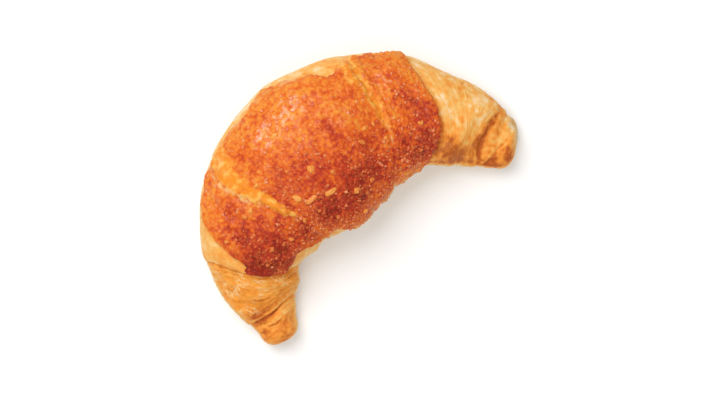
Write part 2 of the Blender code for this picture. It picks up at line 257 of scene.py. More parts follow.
# Granules of cheese, and flakes of dough. A flake is a grid of points along the edge it lifts off and out
# from it.
GRANULE_TRIES = 6  # places drawn for each granule, of which the less browned ones drop out
GRANULE_END_MARGIN = 0.12  # ribs at each end of the cheese that they keep clear of
GRANULE_RIM_MARGIN = 0.03  # the same at its rims, in radians
GRANULE_SHAPE = ((0.9, 0.8, 0.6), (1.5, 1.1, 0.9))  # least and most length, width and height over the radius
GRANULE_UNEVENNESS = 0.2
FLAKE_LENGTH = (1.2, 4.2)  # least and most half length, in millimetres
FLAKE_WIDTH = (0.5, 1.5)  # the same for its width
FLAKE_RISE = (0.08, 0.30)  # the same for the rise of its free edge
FLAKE_ANGLES = (25, 160)  # degrees round the roll between which they lie
FLAKE_GRID = (13, 5)  # points along it and across it
FLAKE_GAP = 0.05 * MM  # how far it stands off the dough at the edge that holds it

# How far the dough is baked, from 0, pale, to 1, brown. Each spot adds to it: rib, angle, reach in ribs,
# reach in degrees, amount.
DOUGH_BAKE = 0.42
DOUGH_SPOTS = (
    (-0.2, 92, 0.35, 30, 0.34),
    (0.35, 60, 0.4, 26, 0.14),
    (0.35, 125, 0.35, 24, -0.04),
    (0.75, 75, 0.12, 40, 0.30),
    (1.25, 76, 0.30, 26, 0.34),
    (2.2, 90, 0.9, 46, 0.10),
    (2.1, 55, 0.8, 26, 0.12),
    (3.2, 35, 0.8, 28, -0.20),
    (3.6, 158, 0.9, 16, -0.16),
    (11.45, 122, 0.40, 21, 0.66),
    (12.15, 130, 0.50, 18, 0.50),
    (12.85, 136, 0.45, 20, 0.46),
    (12.3, 156, 1.2, 15, 0.50),
    # Painted highlight: this paler spot on the right horn.
    (12.55, 112, 0.24, 8, -0.22),
    (13.34, 108, 0.18, 20, 0.62),
    (14.3, 46, 0.3, 30, -0.38),
    (13.8, 84, 0.30, 34, 0.16),
    (13.45, 114, 0.20, 16, 0.22),
    (13.45, 70, 0.20, 26, 0.36),
    (13.95, 68, 0.40, 34, 0.10),
    (13.9, 146, 0.40, 20, 0.50),
    (14.32, 118, 0.14, 26, 0.60),
    (12.2, 55, 1.0, 24, -0.06),
)
# The same for the cheese, where 0 is golden orange and 1 dark red-brown.
CHEESE_BAKE = (0.24, 0.72)  # on the back and over the crest on the inner side
CHEESE_TURN = (66, 140)  # the angles between which it changes
CHEESE_SPOTS = (
    (3.18, 90, 0.24, 18, 0.26),
    (3.5, 94, 0.50, 32, 0.40),
    (4.2, 96, 0.40, 26, 0.20),
    (4.5, 66, 0.40, 20, 0.14),
    (5.8, 90, 0.30, 14, 0.12),
    (6.5, 92, 0.40, 15, 0.16),
    (8.7, 58, 0.35, 14, 0.12),
    (6.3, 128, 0.9, 16, 0.14),
    (7.4, 84, 0.45, 14, -0.10),
    (8.05, 130, 0.7, 16, 0.16),
    (7.8, 92, 0.35, 14, 0.22),
    (5.25, 140, 0.25, 24, -0.20),
    (5.9, 165, 0.5, 16, -0.25),
    (10.35, 98, 0.5, 36, 0.24),
    (6.7, 92, 1.1, 16, 0.12),
    (7.1, 48, 0.5, 16, 0.06),
    (7.05, 90, 0.40, 10, 0.12),
    (4.2, 74, 0.50, 16, 0.17),
    (4.62, 114, 0.28, 12, -0.16),
    (8.9, 110, 0.40, 14, -0.18),
    (3.4, 104, 0.30, 20, 0.20),
)


def hashed(cells, seed):
    """A repeatable number from 0 to 1 for each whole-number place.

    Formula: the three coordinates times large odd numbers, added up, with the bits folded over and mixed.
    """
    cells = cells.astype(np.int64).astype(np.uint64)
    mixed = cells[..., 0] * np.uint64(0x9E3779B97F4A7C15)
    mixed += cells[..., 1] * np.uint64(0xC2B2AE3D27D4EB4F)
    mixed += cells[..., 2] * np.uint64(0x165667B19E3779F9)
    mixed += np.uint64(seed * 7919 + 1)
    mixed ^= mixed >> np.uint64(29)
    mixed *= np.uint64(0xBF58476D1CE4E5B9)
    mixed ^= mixed >> np.uint64(32)
    return (mixed & np.uint64(0xFFFFFF)).astype(float) / 0xFFFFFF


def soft_noise(points, cell, seed):
    """Smooth unevenness from -1 to 1.

    Formula: a random number at each corner of a cube of this size, blended between them by smooth steps.
    """
    place = points / cell
    corner = np.floor(place)
    share = place - corner
    share = share * share * (3 - 2 * share)
    total = np.zeros(place.shape[:-1])
    for offset in np.ndindex(2, 2, 2):
        weight = np.prod(np.where(offset, share, 1 - share), axis=-1)
        total += weight * hashed(corner + np.array(offset), seed)
    return 2 * total - 1


def granular(points, cell, seed):
    """Round grains packed side by side, from 0 between them to 1 on their tops.

    Formula: one centre at a random place in each cube; the height falls off with the square of the distance
    to the nearest centre.
    """
    place = points / cell
    corner = np.floor(place)
    nearest = np.full(place.shape[:-1], 9.0)
    for offset in np.ndindex(3, 3, 3):
        here = corner + np.array(offset) - 1
        centre = here + np.stack([hashed(here, seed + k) for k in range(3)], -1)
        nearest = np.minimum(nearest, ((place - centre) ** 2).sum(-1))
    return np.clip(1 - nearest / 0.5, 0, 1)


def smooth_step(low, high, value):
    """A soft step from 0 to 1: three times the squared share of the way, less twice its cube."""
    share = np.clip((value - low) / (high - low), 0, 1)
    return share * share * (3 - 2 * share)


def bell(value, middle, width):
    """A bell curve, 1 at its middle: e to the minus square of the distance from it over the width."""
    return np.exp(-(((value - middle) / width) ** 2))


def through(values, at):
    """Catmull-Rom curve through values that stand at 0, 1, 2 and so on, straight on past both ends."""
    values = np.asarray(values, float)
    first = 2 * values[:1] - values[1:2]
    last = 2 * values[-1:] - values[-2:-1]
    values = np.concatenate([first, values, last])
    step = np.clip(np.floor(at).astype(int), 0, len(values) - 4)
    f = at - step
    a, b, c, d = (values[step + k] for k in range(4))
    return b + 0.5 * f * (c - a + f * (2 * a - 5 * b + 4 * c - d + f * (3 * b - a - 3 * c + d)))


def rib_value(column, at):
    """One column of the ribs' table at any rib number: the curve through its values."""
    return through([rib[column] for rib in RIBS], at)


def smooth_roll(at, angle):
    """The roll without its wraps.

    Formula: at each place along the ribs, a superellipse with a flatter foot, set across the roll at its
    turn; past the last ribs it shrinks to a blunt point.
    """
    rib = np.clip(at, 0, LAST_RIB)
    over = np.clip(np.abs(at - rib) / TIP_SPAN, 0, 1)
    shrink = (1 - over**TIP_BLUNTNESS) ** (1 / TIP_BLUNTNESS)
    turn = np.radians(rib_value(RIB_TURN, rib))
    half = rib_value(RIB_HALF_WIDTH, rib) * MM * shrink
    height = rib_value(RIB_HEIGHT, rib) * MM
    reach = np.sign(at - rib) * over * TIP_LENGTH
    cos, sin = np.cos(angle), np.sin(angle)
    power = 2 / np.where(sin >= 0, SHOULDER, FOOT)
    side = half * np.sign(cos) * np.abs(cos) ** power
    rise = np.sign(sin) * np.abs(sin) ** power * shrink
    widest = WIDEST_AT * height
    x = rib_value(RIB_X, rib) * MM + reach * np.cos(turn) - side * np.sin(turn)
    y = rib_value(RIB_Y, rib) * MM + reach * np.sin(turn) + side * np.cos(turn)
    z = widest + np.where(rise > 0, (height - widest) * rise, BASE_SINK * widest * rise)
    return np.stack([x - BOX_MIDDLE[0], y - BOX_MIDDLE[1], z], -1)


def outward(at, angle):
    """Unit normals of the smooth roll, and the length of one rib step.

    Formula: the cross product of its slopes round and along it, taken from small steps each way. At the very
    tips, where the roll closes, those of a place just before them are used.
    """
    small = 0.001
    nearly = 0.97 * TIP_SPAN
    inner = np.clip(at, -nearly, LAST_RIB + nearly)
    along = (smooth_roll(inner + small, angle) - smooth_roll(inner - small, angle)) / (2 * small)
    around = smooth_roll(inner, angle + small) - smooth_roll(inner, angle - small)
    normal = np.cross(around, along)
    length = np.linalg.norm(normal, axis=-1, keepdims=True)
    return normal / length, np.linalg.norm(along, axis=-1)


def bowed(rib, angle):
    """Where a rib's ring passes at each angle: the rib number plus its bow, a bell curve round the roll."""
    inner = np.clip(rib, 0, LAST_RIB)
    amount = through([bow[0] for bow in BOW], inner)
    most = np.radians(through([bow[1] for bow in BOW], inner))
    away = (angle - most + math.pi) % (2 * math.pi) - math.pi
    return rib + amount * bell(away, 0, BOW_SPREAD)


def edge_step(past, depth, width, slope, share):
    """One edge: a smooth step down, with a lip before it and a slow rise after it, both exponentials."""
    beyond = smooth_step(-width / 2, width / 2, past)
    lower = np.exp(-np.maximum(past, 0) / slope)
    upper = share * np.exp(np.minimum(past, 0) / LIP_ROUNDING)
    return -depth * (beyond * lower + (1 - beyond) * upper)


def wrap_relief(places):
    """The steps of the wraps: the sum of their frayed edges, shallower at the sides than on top."""
    relief = np.zeros_like(places.rib)
    wander = soft_noise(places.surface, 4 * MM, 91) + 0.5 * soft_noise(places.surface, 1.5 * MM, 92)
    frayed = EDGE_WANDER * wander
    for edge, side, depth, width, recovery in WRAP_EDGES:
        past = (places.rib - edge) * side * places.rib_length + frayed
        relief += edge_step(past, depth, width, recovery, LIP_SHARE)
    return relief * (SIDE_STEP + (1 - SIDE_STEP) * np.maximum(np.sin(places.angle), 0))


def puff(rib, angle):
    """Gentle unevenness of the risen dough: a sum of waves along and round the roll."""
    return sum(h * np.sin(2 * math.pi * a * rib + k * angle + p) for h, a, k, p in PUFFS)


class Place:
    """Places on the roll, with what the shapes and tones need to know about each.

    rib and angle are where a place lies among the wraps, at is the rib number where their bows take it, and
    surface is its distance along and round the roll, in metres.
    """

    def __init__(self, rib, angle):
        self.rib = rib
        self.angle = angle
        self.degrees = np.degrees(angle)
        self.at = bowed(rib, angle)
        self.normal, self.rib_length = outward(self.at, angle)
        self.smooth = smooth_roll(self.at, angle)
        along = np.interp(self.rib, ALONG_RIBS, ALONG_LENGTHS)
        around = rib_value(RIB_HALF_WIDTH, np.clip(self.at, 0, LAST_RIB)) * MM * angle
        self.surface = np.stack([along, around, np.zeros_like(along)], -1)

    def lifted(self, lift):
        """Points of the wrapped roll, lifted off it by a distance that may change from place to place."""
        inside = np.clip((np.minimum(self.rib, LAST_RIB - self.rib) + TIP_SPAN) / TIP_SPAN, 0, 1)
        relief = wrap_relief(self) + puff(self.rib, self.angle)
        points = self.smooth + self.normal * (relief * inside + lift)[..., None]
        points[..., 2] = np.maximum(points[..., 2], 0.0)
        return points


def roll_lengths():
    """Distance along the roll at each of many rib numbers, added up on top of it."""
    ribs = np.linspace(-TIP_SPAN, LAST_RIB + TIP_SPAN, 1501)
    top = smooth_roll(ribs, np.full_like(ribs, math.pi / 2))
    steps = np.linalg.norm(np.diff(top, axis=0), axis=-1)
    return ribs, np.concatenate([[0], np.cumsum(steps)])


ALONG_RIBS, ALONG_LENGTHS = roll_lengths()


def spots(places, table):
    """A sum of soft spots: each is a bell curve of the distances along and round the roll."""
    total = np.zeros_like(places.rib)
    for rib, angle, reach, spread, amount in table:
        along = (places.rib - rib) / reach
        around = (places.degrees - angle) / spread
        total += amount * np.exp(-(along**2) - around**2)
    return total


def streaks(places, across, along, seed):
    """Fibres that follow the wraps: soft noise squeezed along the roll and drawn out round it."""
    stretched = places.surface * np.array([1 / across, 1 / along, 1.0])
    return soft_noise(stretched, 1.0, seed)


def evenly(start, end, spacing, speed):
    """Places from start to end with a wished spacing: the inverse of the summed density."""
    fine = np.linspace(start, end, 4001)
    density = speed(fine) / spacing(fine)
    count = np.concatenate([[0], np.cumsum((density[1:] + density[:-1]) / 2 * np.diff(fine))])
    return np.interp(np.linspace(0, count[-1], round(count[-1]) + 1), count, fine)


def grid_quads(rows, columns, closed):
    """Quads of a grid of points stored row by row: each point, the next one, and the two in the row after.

    A closed grid joins its last column to its first.
    """
    across = columns if closed else columns - 1
    row, column = np.meshgrid(np.arange(rows - 1), np.arange(across), indexing="ij")
    here = row * columns + column
    beside = row * columns + (column + 1) % columns
    return np.stack([here, beside, beside + columns, here + columns], -1).reshape(-1, 4)


def make_piece(name, points, faces, values, material):
    """A finished piece at the origin: points and faces put into a mesh, with named values at each point."""
    mesh = bpy.data.meshes.new(name)
    mesh.from_pydata(points.reshape(-1, 3).tolist(), [], faces)
    mesh.materials.append(material)
    for value_name, value in values.items():
        value = np.asarray(value, float)
        is_vector = value.size == len(mesh.vertices) * 3
        kind, field = ("FLOAT_VECTOR", "vector") if is_vector else ("FLOAT", "value")
        mesh.attributes.new(value_name, kind, "POINT").data.foreach_set(field, value.ravel())
    mesh.shade_smooth()
    mesh.update()
    piece = bpy.data.objects.new(name, mesh)
    bpy.context.scene.collection.objects.link(piece)
    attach(piece, "root")
    return piece


def layer_distance(places, edge, side, slant):
    """Distance past the edge of a thin layer, along the roll; a slanted edge moves on with the angle."""
    return (places.rib - edge - slant * (places.angle - math.pi / 2)) * side * places.rib_length


def layer_shown(places, start):
    """Where a thin layer shows: a soft step round the roll, past the degrees at which it starts."""
    return smooth_step(start - 30, start + 15, places.degrees)


def dough_relief(places):
    """Flaky surface of the dough.

    Formula: the steps of the thin layers, each wandering and fading in and out along its edge, then fibres
    along the wraps, blisters, specks, lumps at the tips, and broad unevenness, with their heights in
    millimetres.
    """
    relief = np.zeros_like(places.rib)
    for k, (edge, side, depth, slope, slant, start) in enumerate(THIN_LAYERS):
        wander = streaks(places, 60 * MM, 5 * MM, 40 + k) + 0.4 * streaks(places, 60 * MM, 1.7 * MM, 100 + k)
        fade = np.clip(0.55 + 0.9 * streaks(places, 60 * MM, 9 * MM, 70 + k), min(depth / MM, 1), 1)
        past = layer_distance(places, edge, side, slant) - 0.5 * MM * wander
        near = bell(past, 0, 3 * slope) * layer_shown(places, start)
        relief += fade * near * edge_step(past, depth, LAYER_STEP, slope, LAYER_LIP)
    left_end, cheese_start, cheese_end, right_start = HORNS
    past_left = smooth_step(left_end, cheese_start, places.rib)
    on_horn = 1 - past_left * (1 - smooth_step(cheese_end, right_start, places.rib))
    left = 1 - smooth_step(5, 6, places.rib)
    at_tip = smooth_step(LAST_RIB - 2, LAST_RIB - 0.6, places.rib) + 1 - smooth_step(0.3, 1.2, places.rib)
    fibres = 0.07 * streaks(places, 1.5 * MM, 7 * MM, 3) + 0.05 * streaks(places, 0.7 * MM, 3 * MM, 4)
    blisters = granular(places.surface * np.array([1, 0.6, 1]), 1.9 * MM, 5) - 0.5
    specks = granular(places.smooth, 0.9 * MM, 7) - 0.5
    lumps = granular(places.smooth, 2.6 * MM, 8) - 0.5
    relief += MM * (0.35 + 0.65 * on_horn) * fibres
    relief += MM * on_horn * (0.10 + 0.22 * left) * blisters
    relief += MM * on_horn * 0.10 * specks + MM * at_tip * 0.22 * lumps
    relief += MM * 0.16 * soft_noise(places.smooth, 3.6 * MM, 6)
    return relief


def dough_bake(places):
    """How far the dough is baked.

    Formula: its spots, streaks and mottling, with a brown bell curve of painted shade in the crease past
    each edge and a pale one on the lip before it, all paler towards the foot, partly as paler dough and
    partly as painted light bounced up from the floor.
    """
    height = rib_value(RIB_HEIGHT, np.clip(places.at, 0, LAST_RIB)) * MM
    low = 1 - smooth_step(0.30, 0.72, places.smooth[..., 2] / height)
    left = 1 - smooth_step(3, 5, places.rib)
    bake = DOUGH_BAKE + 0.14 * left + spots(places, DOUGH_SPOTS)
    bake += 0.11 * streaks(places, 1.5 * MM, 7 * MM, 11) + 0.13 * soft_noise(places.smooth, 5 * MM, 12)
    bake += (0.19 - 0.09 * left) * soft_noise(places.smooth, 1.8 * MM, 13)
    for edge, side, depth, *_ in WRAP_EDGES:
        past = (places.rib - edge) * side * places.rib_length
        # Painted shade: the crease past each wrap's edge is darkened.
        crease = bell(past, 0.9 * MM, 1.1 * MM)
        lip = bell(past, -0.7 * MM, 0.7 * MM)
        bake += depth / MM * (0.16 * crease - 0.10 * lip)
    for edge, side, depth, _, slant, start in THIN_LAYERS:
        past = layer_distance(places, edge, side, slant)
        # Painted shade: the crease past each thin layer's edge is darkened.
        crease = bell(past, 0.7 * MM, 0.6 * MM)
        lip = bell(past, -0.6 * MM, 0.7 * MM)
        bake += layer_shown(places, start) * min(depth / MM, 0.9) * (0.30 * crease - 0.26 * lip)
    # Paler towards the foot: partly paler dough, partly painted light bounced up from the floor.
    return np.clip(bake * (1 - 0.72 * low) - 0.04 * low, 0, 1)


def wrinkled(places):
    """Where fine pale wrinkles cross the dough: soft steps along each horn, faint on the right one."""
    left = smooth_step(1.1, 1.5, places.rib) * (1 - smooth_step(3.0, 3.1, places.rib))
    right = 0.15 * smooth_step(11, 11.2, places.rib) * (1 - smooth_step(13.2, 13.6, places.rib))
    return (left + right) * smooth_step(0.3, 0.6, np.sin(places.angle))


def cheese_ends(angle):
    """The ribs where the cheese starts and ends at each angle: the wraps' edges, torn by soft noise."""
    round_roll = np.stack([angle * TEARS_PER_RADIAN, np.zeros_like(angle), np.zeros_like(angle)], -1)
    rag = sum(depth * (1 + soft_noise(round_roll, size, seed)) for depth, size, seed in CHEESE_TEARS)
    return CHEESE_FROM + rag, CHEESE_TO - rag


def cheese_angles(ribs):
    """The angles that the cheese spans at each rib number: curves through its tables, plus ragged waves."""
    place = (ribs - CHEESE_FROM) * 2
    ragged = sum(size * np.sin(waves * ribs + phase) for size, waves, phase in CHEESE_RAGS)
    back = np.radians(through(CHEESE_BACK, place) + ragged)
    inner = np.radians(180 - through(CHEESE_INNER, place) + ragged)
    return back, inner


def band_strength(places):
    """How far a place lies in a golden band: e to the minus fourth power of its distance over the width.

    Its middle and its width change evenly round the roll, and its edges are frayed.
    """
    strength = np.zeros_like(places.rib)
    share = (places.degrees - BAND_SPAN[0]) / (BAND_SPAN[1] - BAND_SPAN[0])
    frayed = 0.07 * soft_noise(places.smooth, 4 * MM, 31) + 0.05 * soft_noise(places.smooth, 1.6 * MM, 32)
    for back_rib, back_width, inner_rib, inner_width, fade_from, fade_to, amount in BANDS:
        rib = back_rib + (inner_rib - back_rib) * share
        width = np.clip(back_width + (inner_width - back_width) * share, inner_width, None)
        fade = 1 - smooth_step(fade_from, fade_to, places.degrees)
        strength += amount * fade * np.exp(-(((places.rib - rib + frayed) / width) ** 4))
    return strength


def cream_strength(places):
    """How pale a place is: bell curves across the torn edges, the thin places, and the inner side's rim,
    which is partly pale dough and partly painted light bounced up from the floor.

    All three are broken up by noise.
    """
    strength = np.zeros_like(places.rib)
    frayed = 0.03 * soft_noise(places.smooth, 4 * MM, 41) + 0.02 * soft_noise(places.smooth, 1.2 * MM, 42)
    broken = smooth_step(-0.35, 0.35, soft_noise(places.smooth, 2.2 * MM, 43))
    for rib, width, start, end, amount in CREAM_LINES:
        span = smooth_step(start - 8, start + 8, places.degrees)
        span = span * (1 - smooth_step(end - 8, end + 8, places.degrees))
        strength += amount * span * broken * bell(places.rib - rib + frayed, 0, width)
    thin = spots(places, THIN_CHEESE)
    patchy = smooth_step(-0.35, 0.5, soft_noise(places.smooth, 2.6 * MM, 44) + thin - 0.5)
    chipped = smooth_step(-0.6, 0.5, soft_noise(places.smooth, 2 * MM, 45))
    # The inner rim is paler: partly pale dough, partly painted light bounced up from the floor.
    rim = 0.70 * smooth_step(150, 174, places.degrees) * chipped
    return np.clip(strength + patchy * thin + rim, 0, 1)


def cheese_lift(places, depth):
    """Height of the cheese over the dough.

    Formula: its least height, plus its depth with broad lumps, less at its rims and ends, plus its grains in
    millimetres. In the bands the grains give way to torn dough, the pale places are raised, and the smooth
    place has almost no grains.
    """
    back, inner = cheese_angles(places.rib)
    half_width = rib_value(RIB_HALF_WIDTH, places.at) * MM
    from_rim = np.minimum(places.angle - back, inner - places.angle) * half_width
    from_end = np.minimum(places.rib - CHEESE_FROM, CHEESE_TO - places.rib) * places.rib_length
    full = CHEESE_RIM + (1 - CHEESE_RIM) * smooth_step(-0.2 * MM, 3.0 * MM, from_rim)
    full = full * (CHEESE_LIP + (1 - CHEESE_LIP) * smooth_step(0, 1.6 * MM, from_end))
    lumps = sum(
        share * np.sin(a * places.rib + b * places.angle) * np.sin(c * places.rib + d * places.angle)
        for share, a, b, c, d in CHEESE_WAVES
    )
    band = np.clip(band_strength(places), 0, 1)
    grain = 0.24 * granular(places.smooth, *CHEESE_GRAINS) + 0.17 * granular(places.smooth, 0.85 * MM, 26)
    grain += 0.18 * soft_noise(places.smooth, 3.4 * MM, 29) + 0.08 * soft_noise(places.smooth, 0.9 * MM, 30)
    torn = 0.16 * granular(places.smooth, 2.0 * MM, 38) + 0.10 * streaks(places, 1.2 * MM, 5 * MM, 34)
    relief = (1 - 0.7 * band) * grain + 0.7 * band * torn + 0.15 * cream_strength(places)
    relief *= 1 - 0.85 * np.clip(spots(places, BARE), 0, 1)
    inside = smooth_step(0, 2.2 * MM, from_rim)
    return CHEESE_GAP + full * (depth + CHEESE_LUMP * lumps) + MM * relief * inside


def cheese_bake(places):
    """How far the cheese is browned: a soft step from the back over the crest, plus its spots and mottling.

    Low on the inner side it is paler again, partly as paler cheese and partly as painted light bounced up
    from the floor.
    """
    turned = smooth_step(*CHEESE_TURN, places.degrees)
    bake = CHEESE_BAKE[0] + (CHEESE_BAKE[1] - CHEESE_BAKE[0]) * turned + spots(places, CHEESE_SPOTS)
    bake += 0.17 * soft_noise(places.smooth, 7 * MM, 35) + 0.14 * soft_noise(places.smooth, 2.3 * MM, 36)
    bake += 0.10 * streaks(places, 4.5 * MM, 1.7 * MM, 37)
    # Paler low on the inner side: partly paler cheese, partly painted light bounced up from the floor.
    rim = smooth_step(128, 162, places.degrees)
    return np.clip(bake - 0.42 * rim, 0, 1)


def cheese_gloss_and_painted_highlight(places):
    """How greasy the cheese is, also where its painted highlight goes: spots on a faint shine that comes and
    goes.
    """
    return np.clip(0.15 + 0.2 * soft_noise(places.smooth, 9 * MM, 39) + spots(places, GREASY_AND_PAINTED_HIGHLIGHT), 0, 1)


def unit_ball(columns, rings):
    """A ball of radius 1, with its quads and the triangles round each pole.

    Formula: rings at even heights of angle between two poles, each point by the cosines and sines of its
    height and its turn.
    """
    height = np.linspace(-math.pi / 2, math.pi / 2, rings + 2)[1:-1]
    turn = np.arange(columns) * 2 * math.pi / columns
    height, turn = np.meshgrid(height, turn, indexing="ij")
    rounds = np.stack([np.cos(height) * np.cos(turn), np.cos(height) * np.sin(turn), np.sin(height)], -1)
    points = np.concatenate([rounds.reshape(-1, 3), [[0, 0, -1], [0, 0, 1]]])
    here = np.arange(columns)
    beside = (here + 1) % columns
    bottom, top = len(points) - 2, len(points) - 1
    last = (rings - 1) * columns
    low_fan = np.stack([np.full(columns, bottom), beside, here], -1)
    high_fan = np.stack([np.full(columns, top), last + here, last + beside], -1)
    return points, grid_quads(rings, columns, closed=True), np.concatenate([low_fan, high_fan])


def copied_faces(quads, triangles, copies, points_each):
    """The faces of one shape repeated for each copy, with its points' numbers moved on."""
    shift = (np.arange(copies) * points_each)[:, None, None]
    faces = (quads[None] + shift).reshape(-1, quads.shape[1]).tolist()
    if triangles is not None:
        faces += (triangles[None] + shift).reshape(-1, 3).tolist()
    return faces


def surface_axes(places, turn):
    """Three axes at each place, as columns: along the surface at a turn from the roll's run, across, out.

    Formula: the run is the slope along the roll less its share along the normal; the second axis is the
    cross product of both, and the two are turned by cosine and sine.
    """
    ahead = smooth_roll(places.at + 0.01, places.angle) - smooth_roll(places.at - 0.01, places.angle)
    ahead -= places.normal * (ahead * places.normal).sum(-1, keepdims=True)
    ahead /= np.linalg.norm(ahead, axis=-1, keepdims=True)
    across = np.cross(places.normal, ahead)
    cos, sin = np.cos(turn)[..., None], np.sin(turn)[..., None]
    return np.stack([cos * ahead + sin * across, cos * across - sin * ahead, places.normal], -1)


def lumps_on_cheese(places, sizes, turn, sink, ball, uneven, seed):
    """Uneven balls on the cheese: a unit ball swollen by noise, scaled, turned with the surface and sunk.

    The balls stand a few cells of the noise apart in it, so each has a form of its own.
    """
    depth = bpy.context.scene.croissant.cheese.depth
    middle = places.lifted(cheese_lift(places, depth)) - places.normal * (sizes[:, 2] * sink)[:, None]
    axes = surface_axes(places, turn)
    apart, cell = 7.0, 0.7
    shape = ball[None] + np.arange(len(sizes))[:, None, None] * apart
    swell = 1 + uneven * soft_noise(shape, cell, seed)
    local = ball[None] * swell[..., None] * sizes[:, None]
    return middle[:, None] + np.einsum("kij,kpj->kpi", axes, local)


# Materials.


def new_material(name, roughness, specular, coat, coat_roughness, scatter):
    """A Principled material with its constant values on the shader's own sockets."""
    material = bpy.data.materials.new(name)
    material.use_nodes = True
    shader = material.node_tree.nodes["Principled BSDF"]
    shader.inputs["Roughness"].default_value = roughness
    shader.inputs["Specular IOR Level"].default_value = specular
    shader.inputs["Coat Weight"].default_value = coat
    shader.inputs["Coat Roughness"].default_value = coat_roughness
    shader.inputs["Subsurface Weight"].default_value = scatter
    shader.inputs["Subsurface Radius"].default_value = (1.0, 0.45, 0.2)
    shader.inputs["Subsurface Scale"].default_value = 1.5 * MM
    return material, shader


def add_node(tree, kind, at, **settings):
    """A new node at a place in the tree's view, with its settings."""
    node = tree.nodes.new(kind)
    node.location = at
    for name, value in settings.items():
        setattr(node, name, value)
    return node


def read_value(tree, name, at):
    """A node that reads one of the mesh's named values."""
    return add_node(tree, "ShaderNodeAttribute", at, attribute_name=name)


def stepped(tree, value, low, high, at):
    """A soft step from 0 at the low value to 1 at the high one."""
    node = add_node(tree, "ShaderNodeMapRange", at, interpolation_type="SMOOTHSTEP")
    node.inputs["From Min"].default_value = low
    node.inputs["From Max"].default_value = high
    tree.links.new(value, node.inputs["Value"])
    return node.outputs["Result"]


def noise_at(tree, place, scale, detail, at):
    """The value of a Noise Texture at a place."""
    node = add_node(tree, "ShaderNodeTexNoise", at)
    node.inputs["Scale"].default_value = scale
    node.inputs["Detail"].default_value = detail
    tree.links.new(place, node.inputs["Vector"])
    return node.outputs["Fac"]


def feed(tree, socket, value):
    """Gives an input socket its value: another socket, a number or a colour."""
    if isinstance(value, bpy.types.NodeSocket):
        tree.links.new(value, socket)
    elif isinstance(value, (int, float)):
        socket.default_value = value
    else:
        socket.default_value = (*tuple(value)[:3], 1.0)


def maths(tree, operation, first, second, at):
    """A Math node whose two inputs are each a socket or a number."""
    node = add_node(tree, "ShaderNodeMath", at, operation=operation)
    feed(tree, node.inputs[0], first)
    feed(tree, node.inputs[1], second)
    return node.outputs[0]


def mixed(tree, share, first, second, at):
    """A colour Mix node: the share is a socket or a number, each colour a socket or a tuple."""
    node = add_node(tree, "ShaderNodeMix", at, data_type="RGBA")
    feed(tree, node.inputs[0], share)
    feed(tree, node.inputs[6], first)
    feed(tree, node.inputs[7], second)
    return node.outputs[2]


def start_group(name, inputs, outputs):
    """A new node group: each input a name, a type and a default or None, each output a name and a type."""
    group = bpy.data.node_groups.new(name, "ShaderNodeTree")
    for socket_name, kind, default in inputs:
        socket = group.interface.new_socket(socket_name, in_out="INPUT", socket_type="NodeSocket" + kind)
        if default is not None:
            socket.default_value = default
    for socket_name, kind in outputs:
        group.interface.new_socket(socket_name, in_out="OUTPUT", socket_type="NodeSocket" + kind)
    source = add_node(group, "NodeGroupInput", (-900, 0))
    sink = add_node(group, "NodeGroupOutput", (900, 0))
    return group, source, sink


def baked_tone_group():
    """Group: a colour that goes from pale through golden to brown with the bake, mottled by noise."""
    if "baked tone" in bpy.data.node_groups:
        return bpy.data.node_groups["baked tone"]
    inputs = (
        ("Place", "Vector", None),
        ("Bake", "Float", 0.5),
        ("Pale", "Color", None),
        ("Golden", "Color", None),
        ("Orange", "Color", None),
        ("Brown", "Color", None),
        ("Mottle size", "Float", 400.0),
        ("Mottle", "Float", 0.25),
    )
    group, source, sink = start_group("baked tone", inputs, (("Color", "Color"), ("Bake", "Float")))
    links = group.links
    noise = add_node(group, "ShaderNodeTexNoise", (-650, -150))
    noise.inputs["Detail"].default_value = 4.0
    noise.inputs["Roughness"].default_value = 0.62
    links.new(source.outputs["Place"], noise.inputs["Vector"])
    links.new(source.outputs["Mottle size"], noise.inputs["Scale"])
    centred = maths(group, "SUBTRACT", noise.outputs["Fac"], 0.5, (-450, -150))
    shift = maths(group, "MULTIPLY", centred, source.outputs["Mottle"], (-300, -150))
    bake = maths(group, "ADD", source.outputs["Bake"], shift, (-150, -150))
    bake = maths(group, "MINIMUM", maths(group, "MAXIMUM", bake, 0.0, (0, -150)), 1.0, (100, -150))
    first = maths(group, "MULTIPLY", bake, 3.0, (200, 100))
    second = maths(group, "SUBTRACT", first, 1.0, (200, 0))
    third = maths(group, "SUBTRACT", first, 2.0, (200, -100))
    colour = mixed(group, first, source.outputs["Pale"], source.outputs["Golden"], (400, 100))
    colour = mixed(group, second, colour, source.outputs["Orange"], (550, 0))
    colour = mixed(group, third, colour, source.outputs["Brown"], (700, -100))
    links.new(colour, sink.inputs["Color"])
    links.new(bake, sink.inputs["Bake"])
    return group


